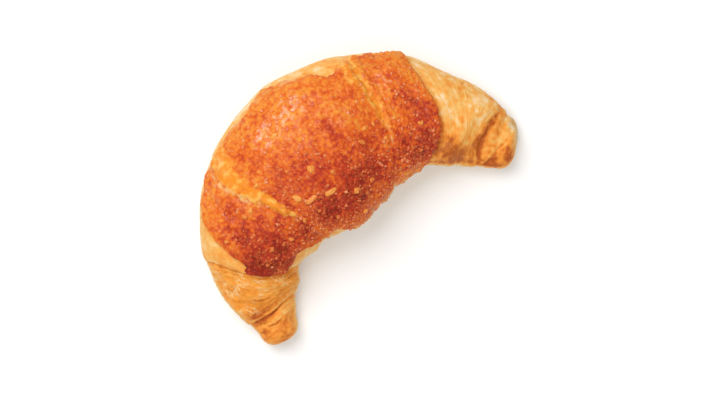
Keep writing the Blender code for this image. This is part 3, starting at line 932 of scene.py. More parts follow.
def fine_grain_group():
    """Group: small bumps from cells and noise, as a height, and bright flecks as a mask for painted glints.
    """
    if "fine grain" in bpy.data.node_groups:
        return bpy.data.node_groups["fine grain"]
    inputs = (("Place", "Vector", None), ("Size", "Float", 900.0), ("Painted glints", "Float", 0.5))
    group, source, sink = start_group("fine grain", inputs, (("Height", "Float"), ("Painted glint", "Float")))
    links = group.links
    cells = add_node(group, "ShaderNodeTexVoronoi", (-600, 100))
    noise = add_node(group, "ShaderNodeTexNoise", (-600, -150))
    noise.inputs["Detail"].default_value = 3.0
    for node in (cells, noise):
        links.new(source.outputs["Place"], node.inputs["Vector"])
        links.new(source.outputs["Size"], node.inputs["Scale"])
    round_top = maths(group, "SUBTRACT", 1.0, cells.outputs["Distance"], (-400, 100))
    height = maths(group, "ADD", round_top, noise.outputs["Fac"], (-200, 50))
    chosen = add_node(group, "ShaderNodeSeparateColor", (-400, -50))
    links.new(cells.outputs["Color"], chosen.inputs["Color"])
    rare = maths(group, "GREATER_THAN", source.outputs["Painted glints"], chosen.outputs[0], (-200, -100))
    inner = maths(group, "LESS_THAN", cells.outputs["Distance"], 0.33, (-200, -250))
    # Painted glints: the middles of a few cells, a mask for pale specks that stand in for tiny highlights.
    painted_glint = maths(group, "MULTIPLY", rare, inner, (0, -150))
    links.new(height, sink.inputs["Height"])
    links.new(painted_glint, sink.inputs["Painted glint"])
    return group


def fibre_group():
    """Group: fine fibres that follow the wraps, from noise on the stretched surface places."""
    if "wrap fibres" in bpy.data.node_groups:
        return bpy.data.node_groups["wrap fibres"]
    inputs = (("Surface", "Vector", None), ("Across", "Float", 1200.0), ("Along", "Float", 120.0))
    group, source, sink = start_group("wrap fibres", inputs, (("Fibre", "Float"),))
    links = group.links
    scale = add_node(group, "ShaderNodeCombineXYZ", (-650, -150))
    links.new(source.outputs["Across"], scale.inputs["X"])
    links.new(source.outputs["Along"], scale.inputs["Y"])
    stretch = add_node(group, "ShaderNodeVectorMath", (-450, 0), operation="MULTIPLY")
    links.new(source.outputs["Surface"], stretch.inputs[0])
    links.new(scale.outputs[0], stretch.inputs[1])
    noise = add_node(group, "ShaderNodeTexNoise", (-250, 0))
    noise.inputs["Scale"].default_value = 1.0
    noise.inputs["Detail"].default_value = 4.0
    noise.inputs["Roughness"].default_value = 0.6
    links.new(stretch.outputs[0], noise.inputs["Vector"])
    links.new(noise.outputs["Fac"], sink.inputs["Fibre"])
    return group


def place_group(tree, group, at, values):
    """A group node in a material, with its inputs set to sockets or values by name."""
    node = add_node(tree, "ShaderNodeGroup", at, node_tree=group)
    for name, value in values.items():
        feed(tree, node.inputs[name], value)
    return node


def add_bump(tree, shader, height, distance, strength, at):
    """A Bump node on the shader's normal."""
    bump = add_node(tree, "ShaderNodeBump", at)
    bump.inputs["Distance"].default_value = distance
    bump.inputs["Strength"].default_value = strength
    tree.links.new(height, bump.inputs["Height"])
    tree.links.new(bump.outputs[0], shader.inputs["Normal"])


def dough_material(name, tones):
    """Baked dough: its tone by how far it is baked, fibres along the wraps, and pale wrinkles on a glaze.

    Wrinkles lie where a noise that follows the surface is close to its middle value, and only in patches.
    """
    material, shader = new_material(
        name, roughness=0.6, specular=0.16, coat=0.0, coat_roughness=0.3, scatter=0.12
    )
    tree = material.node_tree
    place = add_node(tree, "ShaderNodeTexCoord", (-1300, 0)).outputs["Object"]
    surface = read_value(tree, "surface", (-1300, -300)).outputs["Vector"]
    bake = read_value(tree, "bake", (-1300, 300)).outputs["Fac"]
    wrinkle = read_value(tree, "wrinkle", (-1300, 500)).outputs["Fac"]
    fibre_values = {"Surface": surface, "Across": 700.0, "Along": 240.0}
    fibre = place_group(tree, fibre_group(), (-1000, -300), fibre_values).outputs["Fibre"]
    fibre_shift = maths(tree, "SUBTRACT", fibre, 0.5, (-800, -300))
    fibre_shift = maths(tree, "MULTIPLY", fibre_shift, 0.4, (-650, -300))
    streaked = maths(tree, "ADD", bake, fibre_shift, (-500, 100))
    tone = place_group(
        tree,
        baked_tone_group(),
        (-300, 200),
        {
            "Place": place,
            "Bake": streaked,
            "Pale": tones.pale,
            "Golden": tones.golden,
            "Orange": tones.tan,
            "Brown": tones.brown,
            "Mottle size": 400.0,
            "Mottle": 0.75,
        },
    )
    centred = maths(tree, "SUBTRACT", noise_at(tree, surface, 300.0, 4.0, (-1000, 700)), 0.5, (-800, 700))
    folded = maths(tree, "MULTIPLY", centred, centred, (-650, 700))
    flat = stepped(tree, folded, 0.0005, 0.006, (-500, 700))
    ridge = maths(tree, "SUBTRACT", 1.0, flat, (-350, 700))
    wrinkles = maths(tree, "MULTIPLY", ridge, wrinkle, (-200, 600))
    patches = stepped(tree, noise_at(tree, place, 170.0, 2.0, (-800, 900)), 0.42, 0.62, (-600, 900))
    pale_wrinkles = maths(tree, "MULTIPLY", wrinkles, patches, (-50, 800))
    glazed = maths(tree, "MULTIPLY", wrinkle, 0.45, (-50, 600))
    colour = mixed(tree, glazed, tone.outputs["Color"], tones.glaze, (100, 300))
    wrinkle_share = maths(tree, "MULTIPLY", pale_wrinkles, 0.55, (100, 700))
    colour = mixed(tree, wrinkle_share, colour, tones.wrinkle, (250, 300))
    grain_values = {"Place": place, "Size": 1100.0, "Painted glints": 0.05}
    grain = place_group(tree, fine_grain_group(), (-300, -500), grain_values)
    grain_height = maths(tree, "MULTIPLY", grain.outputs["Height"], 0.35, (-100, -500))
    wrinkle_height = maths(tree, "MULTIPLY", wrinkles, 0.8, (50, -600))
    height = maths(tree, "ADD", fibre, grain_height, (50, -400))
    height = maths(tree, "ADD", height, wrinkle_height, (150, -500))
    tree.links.new(colour, shader.inputs["Base Color"])
    add_bump(tree, shader, height, 0.2 * MM, 0.8, (300, -400))
    return material


def cheese_material(name, tones):
    """Baked cheese: its tone by how far it is browned, golden bands with pale edges, grains, greasy patches.

    Grains are paler on their tops than between them, as painted highlight and painted shade, and the
    greasiest patches get a pale painted highlight.
    """
    material, shader = new_material(
        name, roughness=0.45, specular=0.12, coat=0.0, coat_roughness=0.24, scatter=0.06
    )
    tree = material.node_tree
    place = add_node(tree, "ShaderNodeTexCoord", (-1500, 0)).outputs["Object"]
    bake = read_value(tree, "bake", (-1500, 300)).outputs["Fac"]
    band = read_value(tree, "band", (-1500, 500)).outputs["Fac"]
    cream = read_value(tree, "cream", (-1500, 900)).outputs["Fac"]
    top = read_value(tree, "grain_top", (-1500, 700)).outputs["Fac"]
    grain_values = {"Place": place, "Size": 1300.0, "Painted glints": 0.22}
    grain = place_group(tree, fine_grain_group(), (-1200, -500), grain_values)
    # Painted light on the grains: their tops are paler, a painted highlight, and the hollows between them
    # darker, painted shade.
    painted_hollow_shade = maths(tree, "SUBTRACT", 0.35, top, (-1250, 700))
    painted_grain_light_and_shade = maths(tree, "MULTIPLY", painted_hollow_shade, 0.28, (-1100, 700))
    tone = place_group(
        tree,
        baked_tone_group(),
        (-800, 300),
        {
            "Place": place,
            "Bake": maths(tree, "ADD", bake, painted_grain_light_and_shade, (-950, 500)),
            "Pale": tones.golden,
            "Golden": tones.orange,
            "Orange": tones.red_brown,
            "Brown": tones.burnt,
            "Mottle size": 560.0,
            "Mottle": 0.85,
        },
    )
    patch = noise_at(tree, place, 330.0, 5.0, (-1200, -200))
    pale_share = stepped(tree, patch, 0.46, 0.66, (-1000, -200))
    band_colour = mixed(tree, pale_share, tones.band_deep, tones.band_pale, (-650, -100))
    ragged = maths(tree, "SUBTRACT", patch, 0.5, (-800, 600))
    ragged = maths(tree, "MULTIPLY", ragged, 1.5, (-650, 600))
    in_band = stepped(tree, maths(tree, "ADD", band, ragged, (-500, 600)), 0.25, 0.85, (-350, 600))
    in_band = maths(tree, "MULTIPLY", in_band, stepped(tree, band, 0.02, 0.25, (-350, 800)), (-200, 700))
    colour = mixed(tree, in_band, tone.outputs["Color"], band_colour, (-50, 200))
    # Painted glints: pale specks mixed into the cheese that stand in for tiny highlights on its grains.
    painted_glint = maths(tree, "MULTIPLY", grain.outputs["Painted glint"], 0.3, (-300, -300))
    colour = mixed(tree, painted_glint, colour, tones.painted_glint, (100, 200))
    colour = mixed(tree, cream, colour, tones.cream, (250, 200))
    gloss = noise_at(tree, place, 260.0, 3.0, (-600, -700))
    rough = maths(tree, "MULTIPLY", gloss, 0.5, (-400, -700))
    tree.links.new(maths(tree, "ADD", rough, 0.24, (-200, -700)), shader.inputs["Roughness"])
    greasy = read_value(tree, "gloss", (-600, -1100)).outputs["Fac"]
    patches = stepped(tree, noise_at(tree, place, 420.0, 3.0, (-600, -900)), 0.40, 0.62, (-400, -900))
    shine = maths(tree, "MULTIPLY", greasy, patches, (-200, -900))
    tree.links.new(shine, shader.inputs["Coat Weight"])
    # Painted highlight: a pale colour mixed in where the cheese shines most.
    painted_highlight = maths(tree, "MULTIPLY", stepped(tree, shine, 0.35, 1.0, (0, -900)), 0.45, (150, -900))
    colour = mixed(tree, painted_highlight, colour, tones.painted_highlight, (350, 300))
    tree.links.new(colour, shader.inputs["Base Color"])
    add_bump(tree, shader, grain.outputs["Height"], 0.16 * MM, 0.9, (400, -400))
    return material


def crumb_material(name, tones, coat):
    """Bits of cheese: each has its own tone, mottled, with a soft gloss."""
    material, shader = new_material(
        name, roughness=0.5, specular=0.14, coat=coat, coat_roughness=0.2, scatter=0.15
    )
    tree = material.node_tree
    place = add_node(tree, "ShaderNodeTexCoord", (-900, 0)).outputs["Object"]
    bake = read_value(tree, "bake", (-900, 300)).outputs["Fac"]
    tone = place_group(
        tree,
        baked_tone_group(),
        (-500, 200),
        {
            "Place": place,
            "Bake": bake,
            "Pale": tones.pale,
            "Golden": tones.golden,
            "Orange": tones.orange,
            "Brown": tones.brown,
            "Mottle size": 900.0,
            "Mottle": 0.3,
        },
    )
    grain_values = {"Place": place, "Size": 1800.0, "Painted glints": 0.0}
    grain = place_group(tree, fine_grain_group(), (-500, -200), grain_values)
    tree.links.new(tone.outputs["Color"], shader.inputs["Base Color"])
    add_bump(tree, shader, grain.outputs["Height"], 0.1 * MM, 0.5, (-200, -200))
    return material


def floor_material(colour):
    """A matt pale surface with a very faint mottling."""
    material, shader = new_material(
        "pale_floor", roughness=0.85, specular=0.2, coat=0.0, coat_roughness=0.0, scatter=0.0
    )
    tree = material.node_tree
    noise = add_node(tree, "ShaderNodeTexNoise", (-500, 0))
    noise.inputs["Scale"].default_value = 30.0
    place = add_node(tree, "ShaderNodeTexCoord", (-700, 0)).outputs["Object"]
    tree.links.new(place, noise.inputs["Vector"])
    darker = tuple(0.985 * part for part in tuple(colour)[:3])
    mottled = mixed(tree, noise.outputs["Fac"], colour, darker, (-250, 0))
    tree.links.new(mottled, shader.inputs["Base Color"])
    return material


# Settings.


def colour_setting(name, description, colour):
    """A setting that holds a colour."""
    return bpy.props.FloatVectorProperty(
        name=name, description=description, subtype="COLOR", size=3, min=0.0, max=1.0, default=colour
    )


def length_setting(name, description, default):
    """A setting that holds a length in metres."""
    return bpy.props.FloatProperty(
        name=name, description=description, default=default, min=0.0, unit="LENGTH", precision=5
    )


def power_setting(name, description, default):
    """A setting that holds the power of a light in watts."""
    return bpy.props.FloatProperty(
        name=name, description=description, default=default, min=0.0, unit="POWER"
    )


class DoughSettings(bpy.types.PropertyGroup):
    """Fineness and colours of the rolled dough."""

    horn_step: length_setting("Horn step", "Distance between rings of points on the horns", 0.42 * MM)
    middle_step: length_setting("Middle step", "Distance between rings under the cheese", 1.05 * MM)
    top_step: length_setting("Top step", "Distance between points round the upper side", 0.49 * MM)
    base_step: length_setting("Base step", "Distance between points round the underside", 1.6 * MM)
    pale: colour_setting("Pale", "Colour of the least baked dough", (0.90, 0.72, 0.47))
    golden: colour_setting("Golden", "Colour of golden dough", (0.85, 0.46, 0.115))
    glaze: colour_setting("Glaze", "Colour that tinges the dough where it is wrinkled", (0.90, 0.34, 0.035))
    wrinkle: colour_setting("Wrinkle", "Colour of the pale wrinkles", (0.93, 0.66, 0.30))
    tan: colour_setting("Tan", "Colour of well baked dough", (0.83, 0.28, 0.035))
    brown: colour_setting("Brown", "Colour of the darkest dough", (0.44, 0.085, 0.010))


class CheeseSettings(bpy.types.PropertyGroup):
    """Size and colours of the crust of baked cheese."""

    depth: length_setting("Depth", "Depth of the cheese over the dough", 1.5 * MM)
    rows: bpy.props.IntProperty(name="Rows", description="Points along it", default=386, min=50)
    columns: bpy.props.IntProperty(name="Columns", description="Points across it", default=226, min=40)
    golden: colour_setting("Golden", "Colour of the least browned cheese", (0.78, 0.27, 0.032))
    orange: colour_setting("Orange", "Colour of orange cheese", (0.71, 0.13, 0.012))
    red_brown: colour_setting("Red-brown", "Colour of browned cheese", (0.47, 0.042, 0.012))
    burnt: colour_setting("Burnt", "Colour of the darkest cheese", (0.25, 0.017, 0.006))
    band_pale: colour_setting("Band, pale", "Pale parts of the golden bands", (0.84, 0.43, 0.08))
    band_deep: colour_setting("Band, deep", "Deep parts of the golden bands", (0.80, 0.25, 0.015))
    cream: colour_setting("Cream", "Colour of the torn edges beside the bands", (0.86, 0.64, 0.28))
    # Painted highlight: the pale colour mixed into the greasiest places.
    painted_highlight: colour_setting("Painted highlight", "Colour of the dried film on the greasiest places", (0.84, 0.50, 0.34))
    # Painted glint: colour of the pale specks that stand in for tiny highlights.
    painted_glint: colour_setting("Painted glint", "Colour of the finest pale flecks", (0.78, 0.34, 0.15))


class GranuleSettings(bpy.types.PropertyGroup):
    """Number, size and colours of the granules strewn over the cheese."""

    count: bpy.props.IntProperty(name="Count", description="Number of granules", default=1900, min=1)
    smallest: length_setting("Smallest", "Radius of the smallest granule", 0.22 * MM)
    largest: length_setting("Largest", "Radius of the largest granule", 0.78 * MM)
    pale_share: bpy.props.FloatProperty(
        name="Pale share",
        description="Share of the granules that stayed pale",
        default=0.07,
        min=0.0,
        max=1.0,
    )
    seed: bpy.props.IntProperty(name="Seed", description="Seed of the scatter", default=5)
    pale: colour_setting("Pale", "Colour of the palest granules", (0.80, 0.32, 0.16))
    golden: colour_setting("Golden", "Colour of golden granules", (0.74, 0.21, 0.07))
    orange: colour_setting("Orange", "Colour of orange granules", (0.50, 0.085, 0.022))
    brown: colour_setting("Brown", "Colour of browned granules", (0.27, 0.03, 0.009))


class CrumbSettings(bpy.types.PropertyGroup):
    """Colours of the larger crumbs and the shreds of cheese."""

    pale: colour_setting("Pale", "Colour of the palest shreds", (0.83, 0.38, 0.08))
    golden: colour_setting("Golden", "Colour of golden shreds", (0.78, 0.27, 0.045))
    orange: colour_setting("Orange", "Colour of orange shreds", (0.66, 0.16, 0.025))
    brown: colour_setting("Brown", "Colour of browned edges", (0.40, 0.06, 0.012))


class FlakeSettings(bpy.types.PropertyGroup):
    """Number and size of the thin flakes that lift off the dough."""

    count: bpy.props.IntProperty(name="Count", description="Number of flakes", default=46, min=1)
    thickness: length_setting("Thickness", "Thickness of a flake", 0.09 * MM)
    seed: bpy.props.IntProperty(name="Seed", description="Seed of the flakes", default=8)


class StageSettings(bpy.types.PropertyGroup):
    """Floor, lights and camera."""

    floor_size: length_setting("Floor size", "Side of the square floor", 4.0)
    floor_colour: colour_setting("Floor colour", "Colour of the floor", (0.94, 0.94, 0.94))
    key_power: power_setting("Key light", "Power of the key light", 9.5)
    fill_power: power_setting("Fill light", "Power of the fill light", 5.0)
    sky: bpy.props.FloatProperty(
        name="Surroundings", description="Brightness of the surroundings", default=0.46, min=0.0
    )
    camera_height: length_setting("Camera height", "Height of the camera over the floor", 903.5 * MM)
    camera_turn: bpy.props.FloatProperty(
        name="Camera turn",
        description="Turn of the camera about the vertical",
        default=math.radians(-37.5),
        unit="ROTATION",
    )
    lens: bpy.props.FloatProperty(
        name="Lens", description="Focal length in millimetres", default=100.0, min=1.0
    )


class CroissantSettings(bpy.types.PropertyGroup):
    """All settings of the croissant."""

    dough: bpy.props.PointerProperty(type=DoughSettings)
    cheese: bpy.props.PointerProperty(type=CheeseSettings)
    granules: bpy.props.PointerProperty(type=GranuleSettings)
    crumbs: bpy.props.PointerProperty(type=CrumbSettings)
    flakes: bpy.props.PointerProperty(type=FlakeSettings)
    stage: bpy.props.PointerProperty(type=StageSettings)


# Pieces.


class CROISSANT_OT_dough(bpy.types.Operator):
    """Make the rolled dough, closed all round, in place of its plain solid"""

    bl_idname = "croissant.dough"
    bl_label = "Rolled dough"

    def execute(self, context):
        settings = context.scene.croissant.dough
        ribs, angles = self.grid_lines(settings)
        places = Place(*np.meshgrid(ribs, angles, indexing="ij"))
        from_end = np.minimum(places.rib + TIP_SPAN, LAST_RIB + TIP_SPAN - places.rib)
        end_fade = np.clip(from_end / (TIP_SPAN / 2), 0, 1)
        foot_fade = smooth_step(0.0, 2.0 * MM, places.smooth[..., 2])
        lift = dough_relief(places) * end_fade + MM * spots(places, SWELLS)
        rings = places.lifted(lift * foot_fade)
        ends = smooth_roll(np.array([-TIP_SPAN, LAST_RIB + TIP_SPAN]), np.zeros(2))
        ends += (rings - places.smooth)[[0, -1]].mean(axis=1)
        points = np.concatenate([rings.reshape(-1, 3), ends])
        quads = grid_quads(len(ribs), len(angles), closed=True)
        faces = quads.tolist() + self.end_fans(len(ribs), len(angles))
        bake = dough_bake(places)
        values = {
            "bake": np.concatenate([bake.ravel(), bake[[0, -1]].mean(axis=1)]),
            "wrinkle": np.concatenate([wrinkled(places).ravel(), [0.0, 0.0]]),
            "surface": np.concatenate([places.surface.reshape(-1, 3), places.surface[[0, -1], 0]]),
        }
        material = dough_material("baked_dough", settings)
        piece = make_piece("flaky_dough", points, faces, values, material)
        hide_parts("rolled_dough")
        return {"FINISHED"}

    def grid_lines(self, settings):
        """Rib numbers and angles of the grid: evenly spaced, and further apart where the dough is hidden."""

        def ring_spacing(ribs):
            left, right = (CHEESE_FROM, CHEESE_FROM + 0.5), (CHEESE_TO - 0.5, CHEESE_TO)
            covered = smooth_step(*left, ribs) * (1 - smooth_step(*right, ribs))
            return settings.horn_step + (settings.middle_step - settings.horn_step) * covered

        def ring_speed(ribs):
            on_top = np.full_like(ribs, math.pi / 2)
            return outward(bowed(ribs, on_top), on_top)[1]

        def round_spacing(angles):
            low = smooth_step(0.05, 0.5, -np.sin(angles))
            return settings.top_step + (settings.base_step - settings.top_step) * low

        def round_speed(angles):
            middle = np.full_like(angles, LAST_RIB / 2)
            small = 0.002
            step = smooth_roll(middle, angles + small) - smooth_roll(middle, angles - small)
            return np.linalg.norm(step, axis=-1) / (2 * small)

        ribs = evenly(0, LAST_RIB, ring_spacing, ring_speed)
        tip = TIP_SPAN * np.sin(np.linspace(0, math.pi / 2, 16)[1:-1])
        ribs = np.concatenate([-tip[::-1], ribs, LAST_RIB + tip])
        return ribs, evenly(0, 2 * math.pi, round_spacing, round_speed)[:-1]

    def end_fans(self, rings, count):
        """The triangles that close both ends: from the first and the last ring to the points past them."""
        left = rings * count
        right = left + 1
        last_ring = left - count
        here = np.arange(count)
        beside = (here + 1) % count
        left_fan = np.stack([np.full(count, left), beside, here], -1)
        right_fan = np.stack([np.full(count, right), last_ring + here, last_ring + beside], -1)
        return np.concatenate([left_fan, right_fan]).tolist()


class CROISSANT_OT_cheese(bpy.types.Operator):
    """Make the crust of baked cheese as a closed shell, in place of its plain solid"""

    bl_idname = "croissant.cheese"
    bl_label = "Baked cheese"

    def execute(self, context):
        settings = context.scene.croissant.cheese
        share_along = np.linspace(0, 1, settings.rows)[:, None]
        share_across = np.linspace(0, 1, settings.columns)[None]
        guess_rib = CHEESE_FROM + (CHEESE_TO - CHEESE_FROM) * share_along
        back, inner = cheese_angles(guess_rib)
        angle = back + (inner - back) * share_across
        start, end = cheese_ends(angle)
        rib = start + (end - start) * share_along
        upper = Place(rib, angle)
        lift = cheese_lift(upper, settings.depth)
        upper_points = upper.lifted(lift)
        under_columns = np.linspace(settings.columns - 1, 0, UNDER_COLUMNS).round().astype(int)
        under = Place(rib[:, under_columns], angle[:, under_columns])
        under_points = under.lifted(np.full(under.rib.shape, -CHEESE_SINK))
        points = np.concatenate([upper_points, under_points], axis=1)
        columns = points.shape[1]
        quads = grid_quads(settings.rows, columns, closed=True)
        faces = quads.tolist() + self.end_caps(settings, under_columns, columns)
        none = np.zeros(under.rib.shape)
        sides = {
            "bake": (cheese_bake(upper), cheese_bake(under)),
            "band": (band_strength(upper), band_strength(under)),
            "cream": (cream_strength(upper), none),
            "gloss": (cheese_gloss_and_painted_highlight(upper), none),
            "grain_top": (granular(upper.smooth, *CHEESE_GRAINS), none),
        }
        values = {name: np.concatenate(pair, axis=1) for name, pair in sides.items()}
        material = cheese_material("browned_cheese", settings)
        piece = make_piece("baked_cheese", points, faces, values, material)
        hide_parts("cheese_crust")
        return {"FINISHED"}

    def end_caps(self, settings, under_columns, columns):
        """The two ends: a ladder of triangles between the upper edge and the coarser under edge."""
        upper = np.arange(settings.columns)
        under = np.arange(settings.columns, columns)[::-1]
        under_at = under_columns[::-1]
        nearest = np.clip(np.searchsorted(under_at, upper[:-1] + 0.5) - 1, 0, len(under) - 1)
        rungs = np.stack([upper[:-1], under[nearest], upper[1:]], -1)
        steps = np.stack([under[:-1], under[1:], under_at[1:]], -1)
        first = np.concatenate([rungs, steps])
        last = first[:, ::-1] + (settings.rows - 1) * columns
        return np.concatenate([first, last]).tolist()


class CROISSANT_OT_granules(bpy.types.Operator):
    """Strew small granules of cheese over the crust, as one joined mesh"""

    bl_idname = "croissant.granules"
    bl_label = "Granules"

    def execute(self, context):
        settings = context.scene.croissant.granules
        draw = np.random.default_rng(settings.seed)
        places = self.scattered(draw, settings.count)
        count = len(places.rib)
        share = draw.uniform(0, 1, count) ** 2.6
        size = settings.smallest + (settings.largest - settings.smallest) * share
        sizes = size[:, None] * draw.uniform(*GRANULE_SHAPE, (count, 3))
        ball, quads, fans = unit_ball(8, 4)
        turn = draw.uniform(0, math.pi, count)
        points = lumps_on_cheese(places, sizes, turn, 0.1, ball, GRANULE_UNEVENNESS, 52)
        tone = np.clip(cheese_bake(places) + draw.normal(-0.13, 0.11, count), 0, 1)
        pale = draw.uniform(0, 1, count) < settings.pale_share
        tone = np.where(pale, draw.uniform(0.05, 0.45, count), tone)
        values = {"bake": np.repeat(tone, len(ball))}
        material = crumb_material("cheese_granules", settings, coat=0.0)
        faces = copied_faces(quads, fans, count, len(ball))
        piece = make_piece("cheese_granules", points, faces, values, material)
        return {"FINISHED"}

    def scattered(self, draw, count):
        """Places of the granules, drawn by chance and kept as often as the cheese there is browned.

        Fewer are kept in the bands and in broad patches of soft noise, and none at the rims and on the
        smooth place.
        """
        tries = count * GRANULE_TRIES
        rib = draw.uniform(CHEESE_FROM + GRANULE_END_MARGIN, CHEESE_TO - GRANULE_END_MARGIN, tries)
        spread = draw.beta(2.4, 1.5, tries)
        back, inner = cheese_angles(rib)
        span = inner - back - 2 * GRANULE_RIM_MARGIN
        places = Place(rib, back + GRANULE_RIM_MARGIN + span * spread)
        wanted = cheese_bake(places) * (1 - 0.85 * np.clip(band_strength(places), 0, 1))
        wanted *= 0.5 + 0.9 * (soft_noise(places.smooth, 7 * MM, 51) > -0.1)
        from_rim = np.minimum(spread, 1 - spread) * (inner - back) * rib_value(RIB_HALF_WIDTH, rib) * MM
        wanted *= (spots(places, BARE) < 0.35) * smooth_step(0.5 * MM, 4 * MM, from_rim)
        kept = np.flatnonzero(draw.uniform(0, 1, tries) < wanted)[:count]
        return Place(places.rib[kept], places.angle[kept])


class CROISSANT_OT_crumbs(bpy.types.Operator):
    """Lay the larger crumbs and the shreds of cheese on the crust, where the plain solid has them"""

    bl_idname = "croissant.crumbs"
    bl_label = "Crumbs and shreds"

    def execute(self, context):
        settings = context.scene.croissant.crumbs
        draw = np.random.default_rng(CRUMB_SEED)
        rows = [
            (rib, math.radians(angle), length, width, math.radians(turn))
            for rib, angle, length, width, turn in SHREDS
        ]
        spacing = (CHEESE_TO - CHEESE_FROM - 2 * CRUMB_MARGIN) / CRUMBS
        for k in range(CRUMBS):
            rib = CHEESE_FROM + CRUMB_MARGIN + (k + draw.uniform(0, 1)) * spacing
            angle = math.radians(draw.uniform(*CRUMB_ANGLES))
            size = draw.uniform(*CRUMB_SIZE)
            length = size * draw.uniform(*CRUMB_STRETCH)
            rows.append((rib, angle, length, size, math.radians(draw.uniform(0, 180))))
        rib, angle, length, width, turn = np.array(rows).T
        places = Place(rib, angle)
        sizes = np.stack([length, width, width * CRUMB_FLATNESS], -1)
        ball, quads, fans = unit_ball(26, 15)
        points = lumps_on_cheese(places, sizes, turn, 0.2, ball, CRUMB_UNEVENNESS, 61)
        shred = np.arange(len(rib)) < len(SHREDS)
        tone = np.where(shred, draw.uniform(0.20, 0.45, len(rib)), 0.7 * cheese_bake(places) + 0.05)
        tone += draw.normal(0, 0.09, len(rib))
        # Each crumb is darker towards its underside.
        darker_below = 0.25 * (1 - ball[:, 2]) / 2
        values = {"bake": np.clip(tone[:, None] + darker_below[None], 0, 1)}
        material = crumb_material("cheese_shreds", settings, coat=0.35)
        faces = copied_faces(quads, fans, len(rib), len(ball))
        piece = make_piece("cheese_crumbs", points, faces, values, material)
        return {"FINISHED"}


class CROISSANT_OT_flakes(bpy.types.Operator):
    """Lift thin flakes of dough off the horns, each a curved sheet with one free edge"""

    bl_idname = "croissant.flakes"
    bl_label = "Flakes"

    def execute(self, context):
        settings = context.scene.croissant.flakes
        draw = np.random.default_rng(settings.seed)
        count = settings.count
        lifting = [*THIN_LAYERS[:FLAKY_LAYERS], WRAP_EDGES[0], WRAP_EDGES[-1]]
        edges = np.array([edge[0] for edge in lifting])
        sides = np.array([edge[1] for edge in lifting])
        chosen = draw.integers(0, len(edges), count)
        rib = edges[chosen] + draw.normal(0, 0.03, count)
        side = sides[chosen]
        angle = np.radians(draw.uniform(*FLAKE_ANGLES, count))
        half = rib_value(RIB_HALF_WIDTH, rib) * MM
        half_length = draw.uniform(*FLAKE_LENGTH, count) * MM / half
        width = draw.uniform(*FLAKE_WIDTH, count) * MM
        rise = draw.uniform(*FLAKE_RISE, count) * MM

        # Each lies along its edge from -1 to 1 and out from it from 0 to 1, in an oval with a jagged side.
        rows, columns = FLAKE_GRID
        along, out = np.meshgrid(np.linspace(-1, 1, rows), np.linspace(0, 1, columns), indexing="ij")
        outline = (1 - along**2) ** 0.6
        jag = 1 + 0.3 * soft_noise(np.stack([along * 3, 0 * along, 0 * along], -1), 0.6, 71)
        rib_step = Place(rib, angle).rib_length
        across = (out * outline * jag)[None] * (width * side / rib_step)[:, None, None]
        turned = along[None] * half_length[:, None, None]
        places = Place(rib[:, None, None] + across, angle[:, None, None] + turned)
        curl = rise[:, None, None] * (out**1.5 * outline)[None]
        points = places.lifted(dough_relief(places) + curl + FLAKE_GAP)
        shift = draw.normal(-0.08, 0.08, count)[:, None, None]
        tone = np.clip(dough_bake(places) + shift + 0.10 * out[None], 0, 1)
        quads = grid_quads(rows, columns, closed=False)
        outward_quads = np.where(side[:, None, None] > 0, quads[None, :, ::-1], quads[None])
        first_point = (np.arange(count) * rows * columns)[:, None, None]
        faces = (outward_quads + first_point).reshape(-1, 4).tolist()
        values = {"bake": tone, "wrinkle": np.zeros_like(tone), "surface": places.surface}
        material = dough_material("dough_flakes", context.scene.croissant.dough)
        piece = make_piece("dough_flakes", points, faces, values, material)
        wall = piece.modifiers.new("Thickness", "SOLIDIFY")
        wall.thickness = settings.thickness
        wall.offset = 0.0
        return {"FINISHED"}


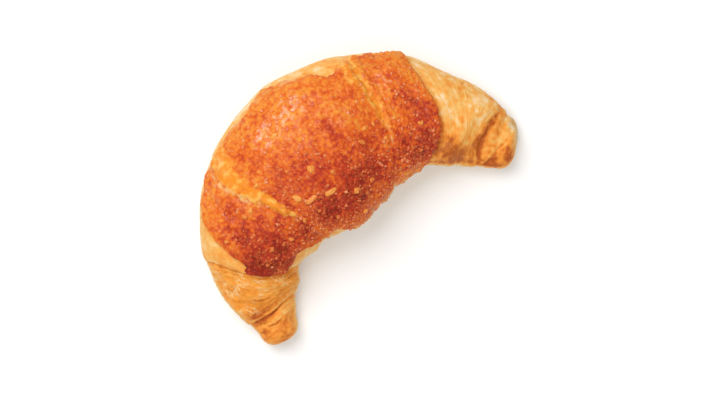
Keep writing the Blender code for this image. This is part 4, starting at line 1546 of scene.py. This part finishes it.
class CROISSANT_OT_stage(bpy.types.Operator):
    """Set the pale floor, the soft lights and the camera that looks straight down"""

    bl_idname = "croissant.stage"
    bl_label = "Stage"

    def execute(self, context):
        settings = context.scene.croissant.stage
        self.make_floor(settings)
        self.make_light("key_light", settings.key_power, *KEY_LIGHT)
        self.make_light("fill_light", settings.fill_power, *FILL_LIGHT)
        world = bpy.data.worlds.new("soft_surroundings")
        world.use_nodes = True
        background = world.node_tree.nodes["Background"]
        background.inputs["Color"].default_value = (1.0, 1.0, 1.0, 1.0)
        background.inputs["Strength"].default_value = settings.sky
        context.scene.world = world
        context.scene.view_settings.view_transform = "Standard"
        self.make_camera(context, settings)
        return {"FINISHED"}

    def make_floor(self, settings):
        """One square, just under the croissant."""
        half = settings.floor_size / 2
        points = np.array([[-half, -half, 0], [half, -half, 0], [half, half, 0], [-half, half, 0]])
        points[:, 2] = SOLID_BOX[0][2] - FLOOR_GAP
        mesh = bpy.data.meshes.new("floor")
        mesh.from_pydata(points.tolist(), [], [[0, 1, 2, 3]])
        mesh.materials.append(floor_material(settings.floor_colour))
        floor = bpy.data.objects.new("floor", mesh)
        bpy.context.scene.collection.objects.link(floor)

    def make_light(self, name, power, size, place):
        """A square soft light that faces the croissant's middle: its tilt and turn by arc tangents."""
        data = bpy.data.lights.new(name, "AREA")
        data.energy = power
        data.size = size
        light = bpy.data.objects.new(name, data)
        light.location = place
        toward = -np.array(place) + np.array(LIGHTS_AIM_AT)
        tilt = math.atan2(math.hypot(toward[0], toward[1]), -toward[2])
        turn = math.atan2(toward[1], toward[0]) - math.pi / 2
        light.rotation_euler = (tilt, 0, turn)
        bpy.context.scene.collection.objects.link(light)

    def make_camera(self, context, settings):
        """A camera that looks straight down, turned about the vertical."""
        data = bpy.data.cameras.new("camera")
        data.lens = settings.lens
        data.sensor_width = FILM_WIDTH
        camera = bpy.data.objects.new("camera", data)
        camera.location = (CAMERA_OVER[0], CAMERA_OVER[1], settings.camera_height)
        camera.rotation_euler = (0, 0, settings.camera_turn)
        context.scene.collection.objects.link(camera)
        context.scene.camera = camera


class CROISSANT_PT_panel(bpy.types.Panel):
    """Buttons for each piece"""

    bl_idname = "CROISSANT_PT_panel"
    bl_label = "Cheese croissant"
    bl_space_type = "VIEW_3D"
    bl_region_type = "UI"
    bl_category = "Croissant"

    def draw(self, context):
        """One button for each operator."""
        for operator in OPERATORS:
            self.layout.operator(operator.bl_idname)


OPERATORS = (
    CROISSANT_OT_dough,
    CROISSANT_OT_cheese,
    CROISSANT_OT_granules,
    CROISSANT_OT_crumbs,
    CROISSANT_OT_flakes,
    CROISSANT_OT_stage,
)
SETTINGS = (
    DoughSettings,
    CheeseSettings,
    GranuleSettings,
    CrumbSettings,
    FlakeSettings,
    StageSettings,
    CroissantSettings,
)


def register():
    """Makes the classes known to Blender, with the settings on the scene."""
    for item in SETTINGS + OPERATORS + (CROISSANT_PT_panel,):
        bpy.utils.register_class(item)
    bpy.types.Scene.croissant = bpy.props.PointerProperty(type=CroissantSettings)


def unregister():
    """Takes them away again."""
    del bpy.types.Scene.croissant
    for item in reversed(SETTINGS + OPERATORS + (CROISSANT_PT_panel,)):
        bpy.utils.unregister_class(item)


def main():
    """Makes every piece and the stage."""
    register()
    bpy.ops.croissant.dough()
    bpy.ops.croissant.cheese()
    bpy.ops.croissant.granules()
    bpy.ops.croissant.crumbs()
    bpy.ops.croissant.flakes()
    bpy.ops.croissant.stage()


if __name__ == "__main__":
    main()
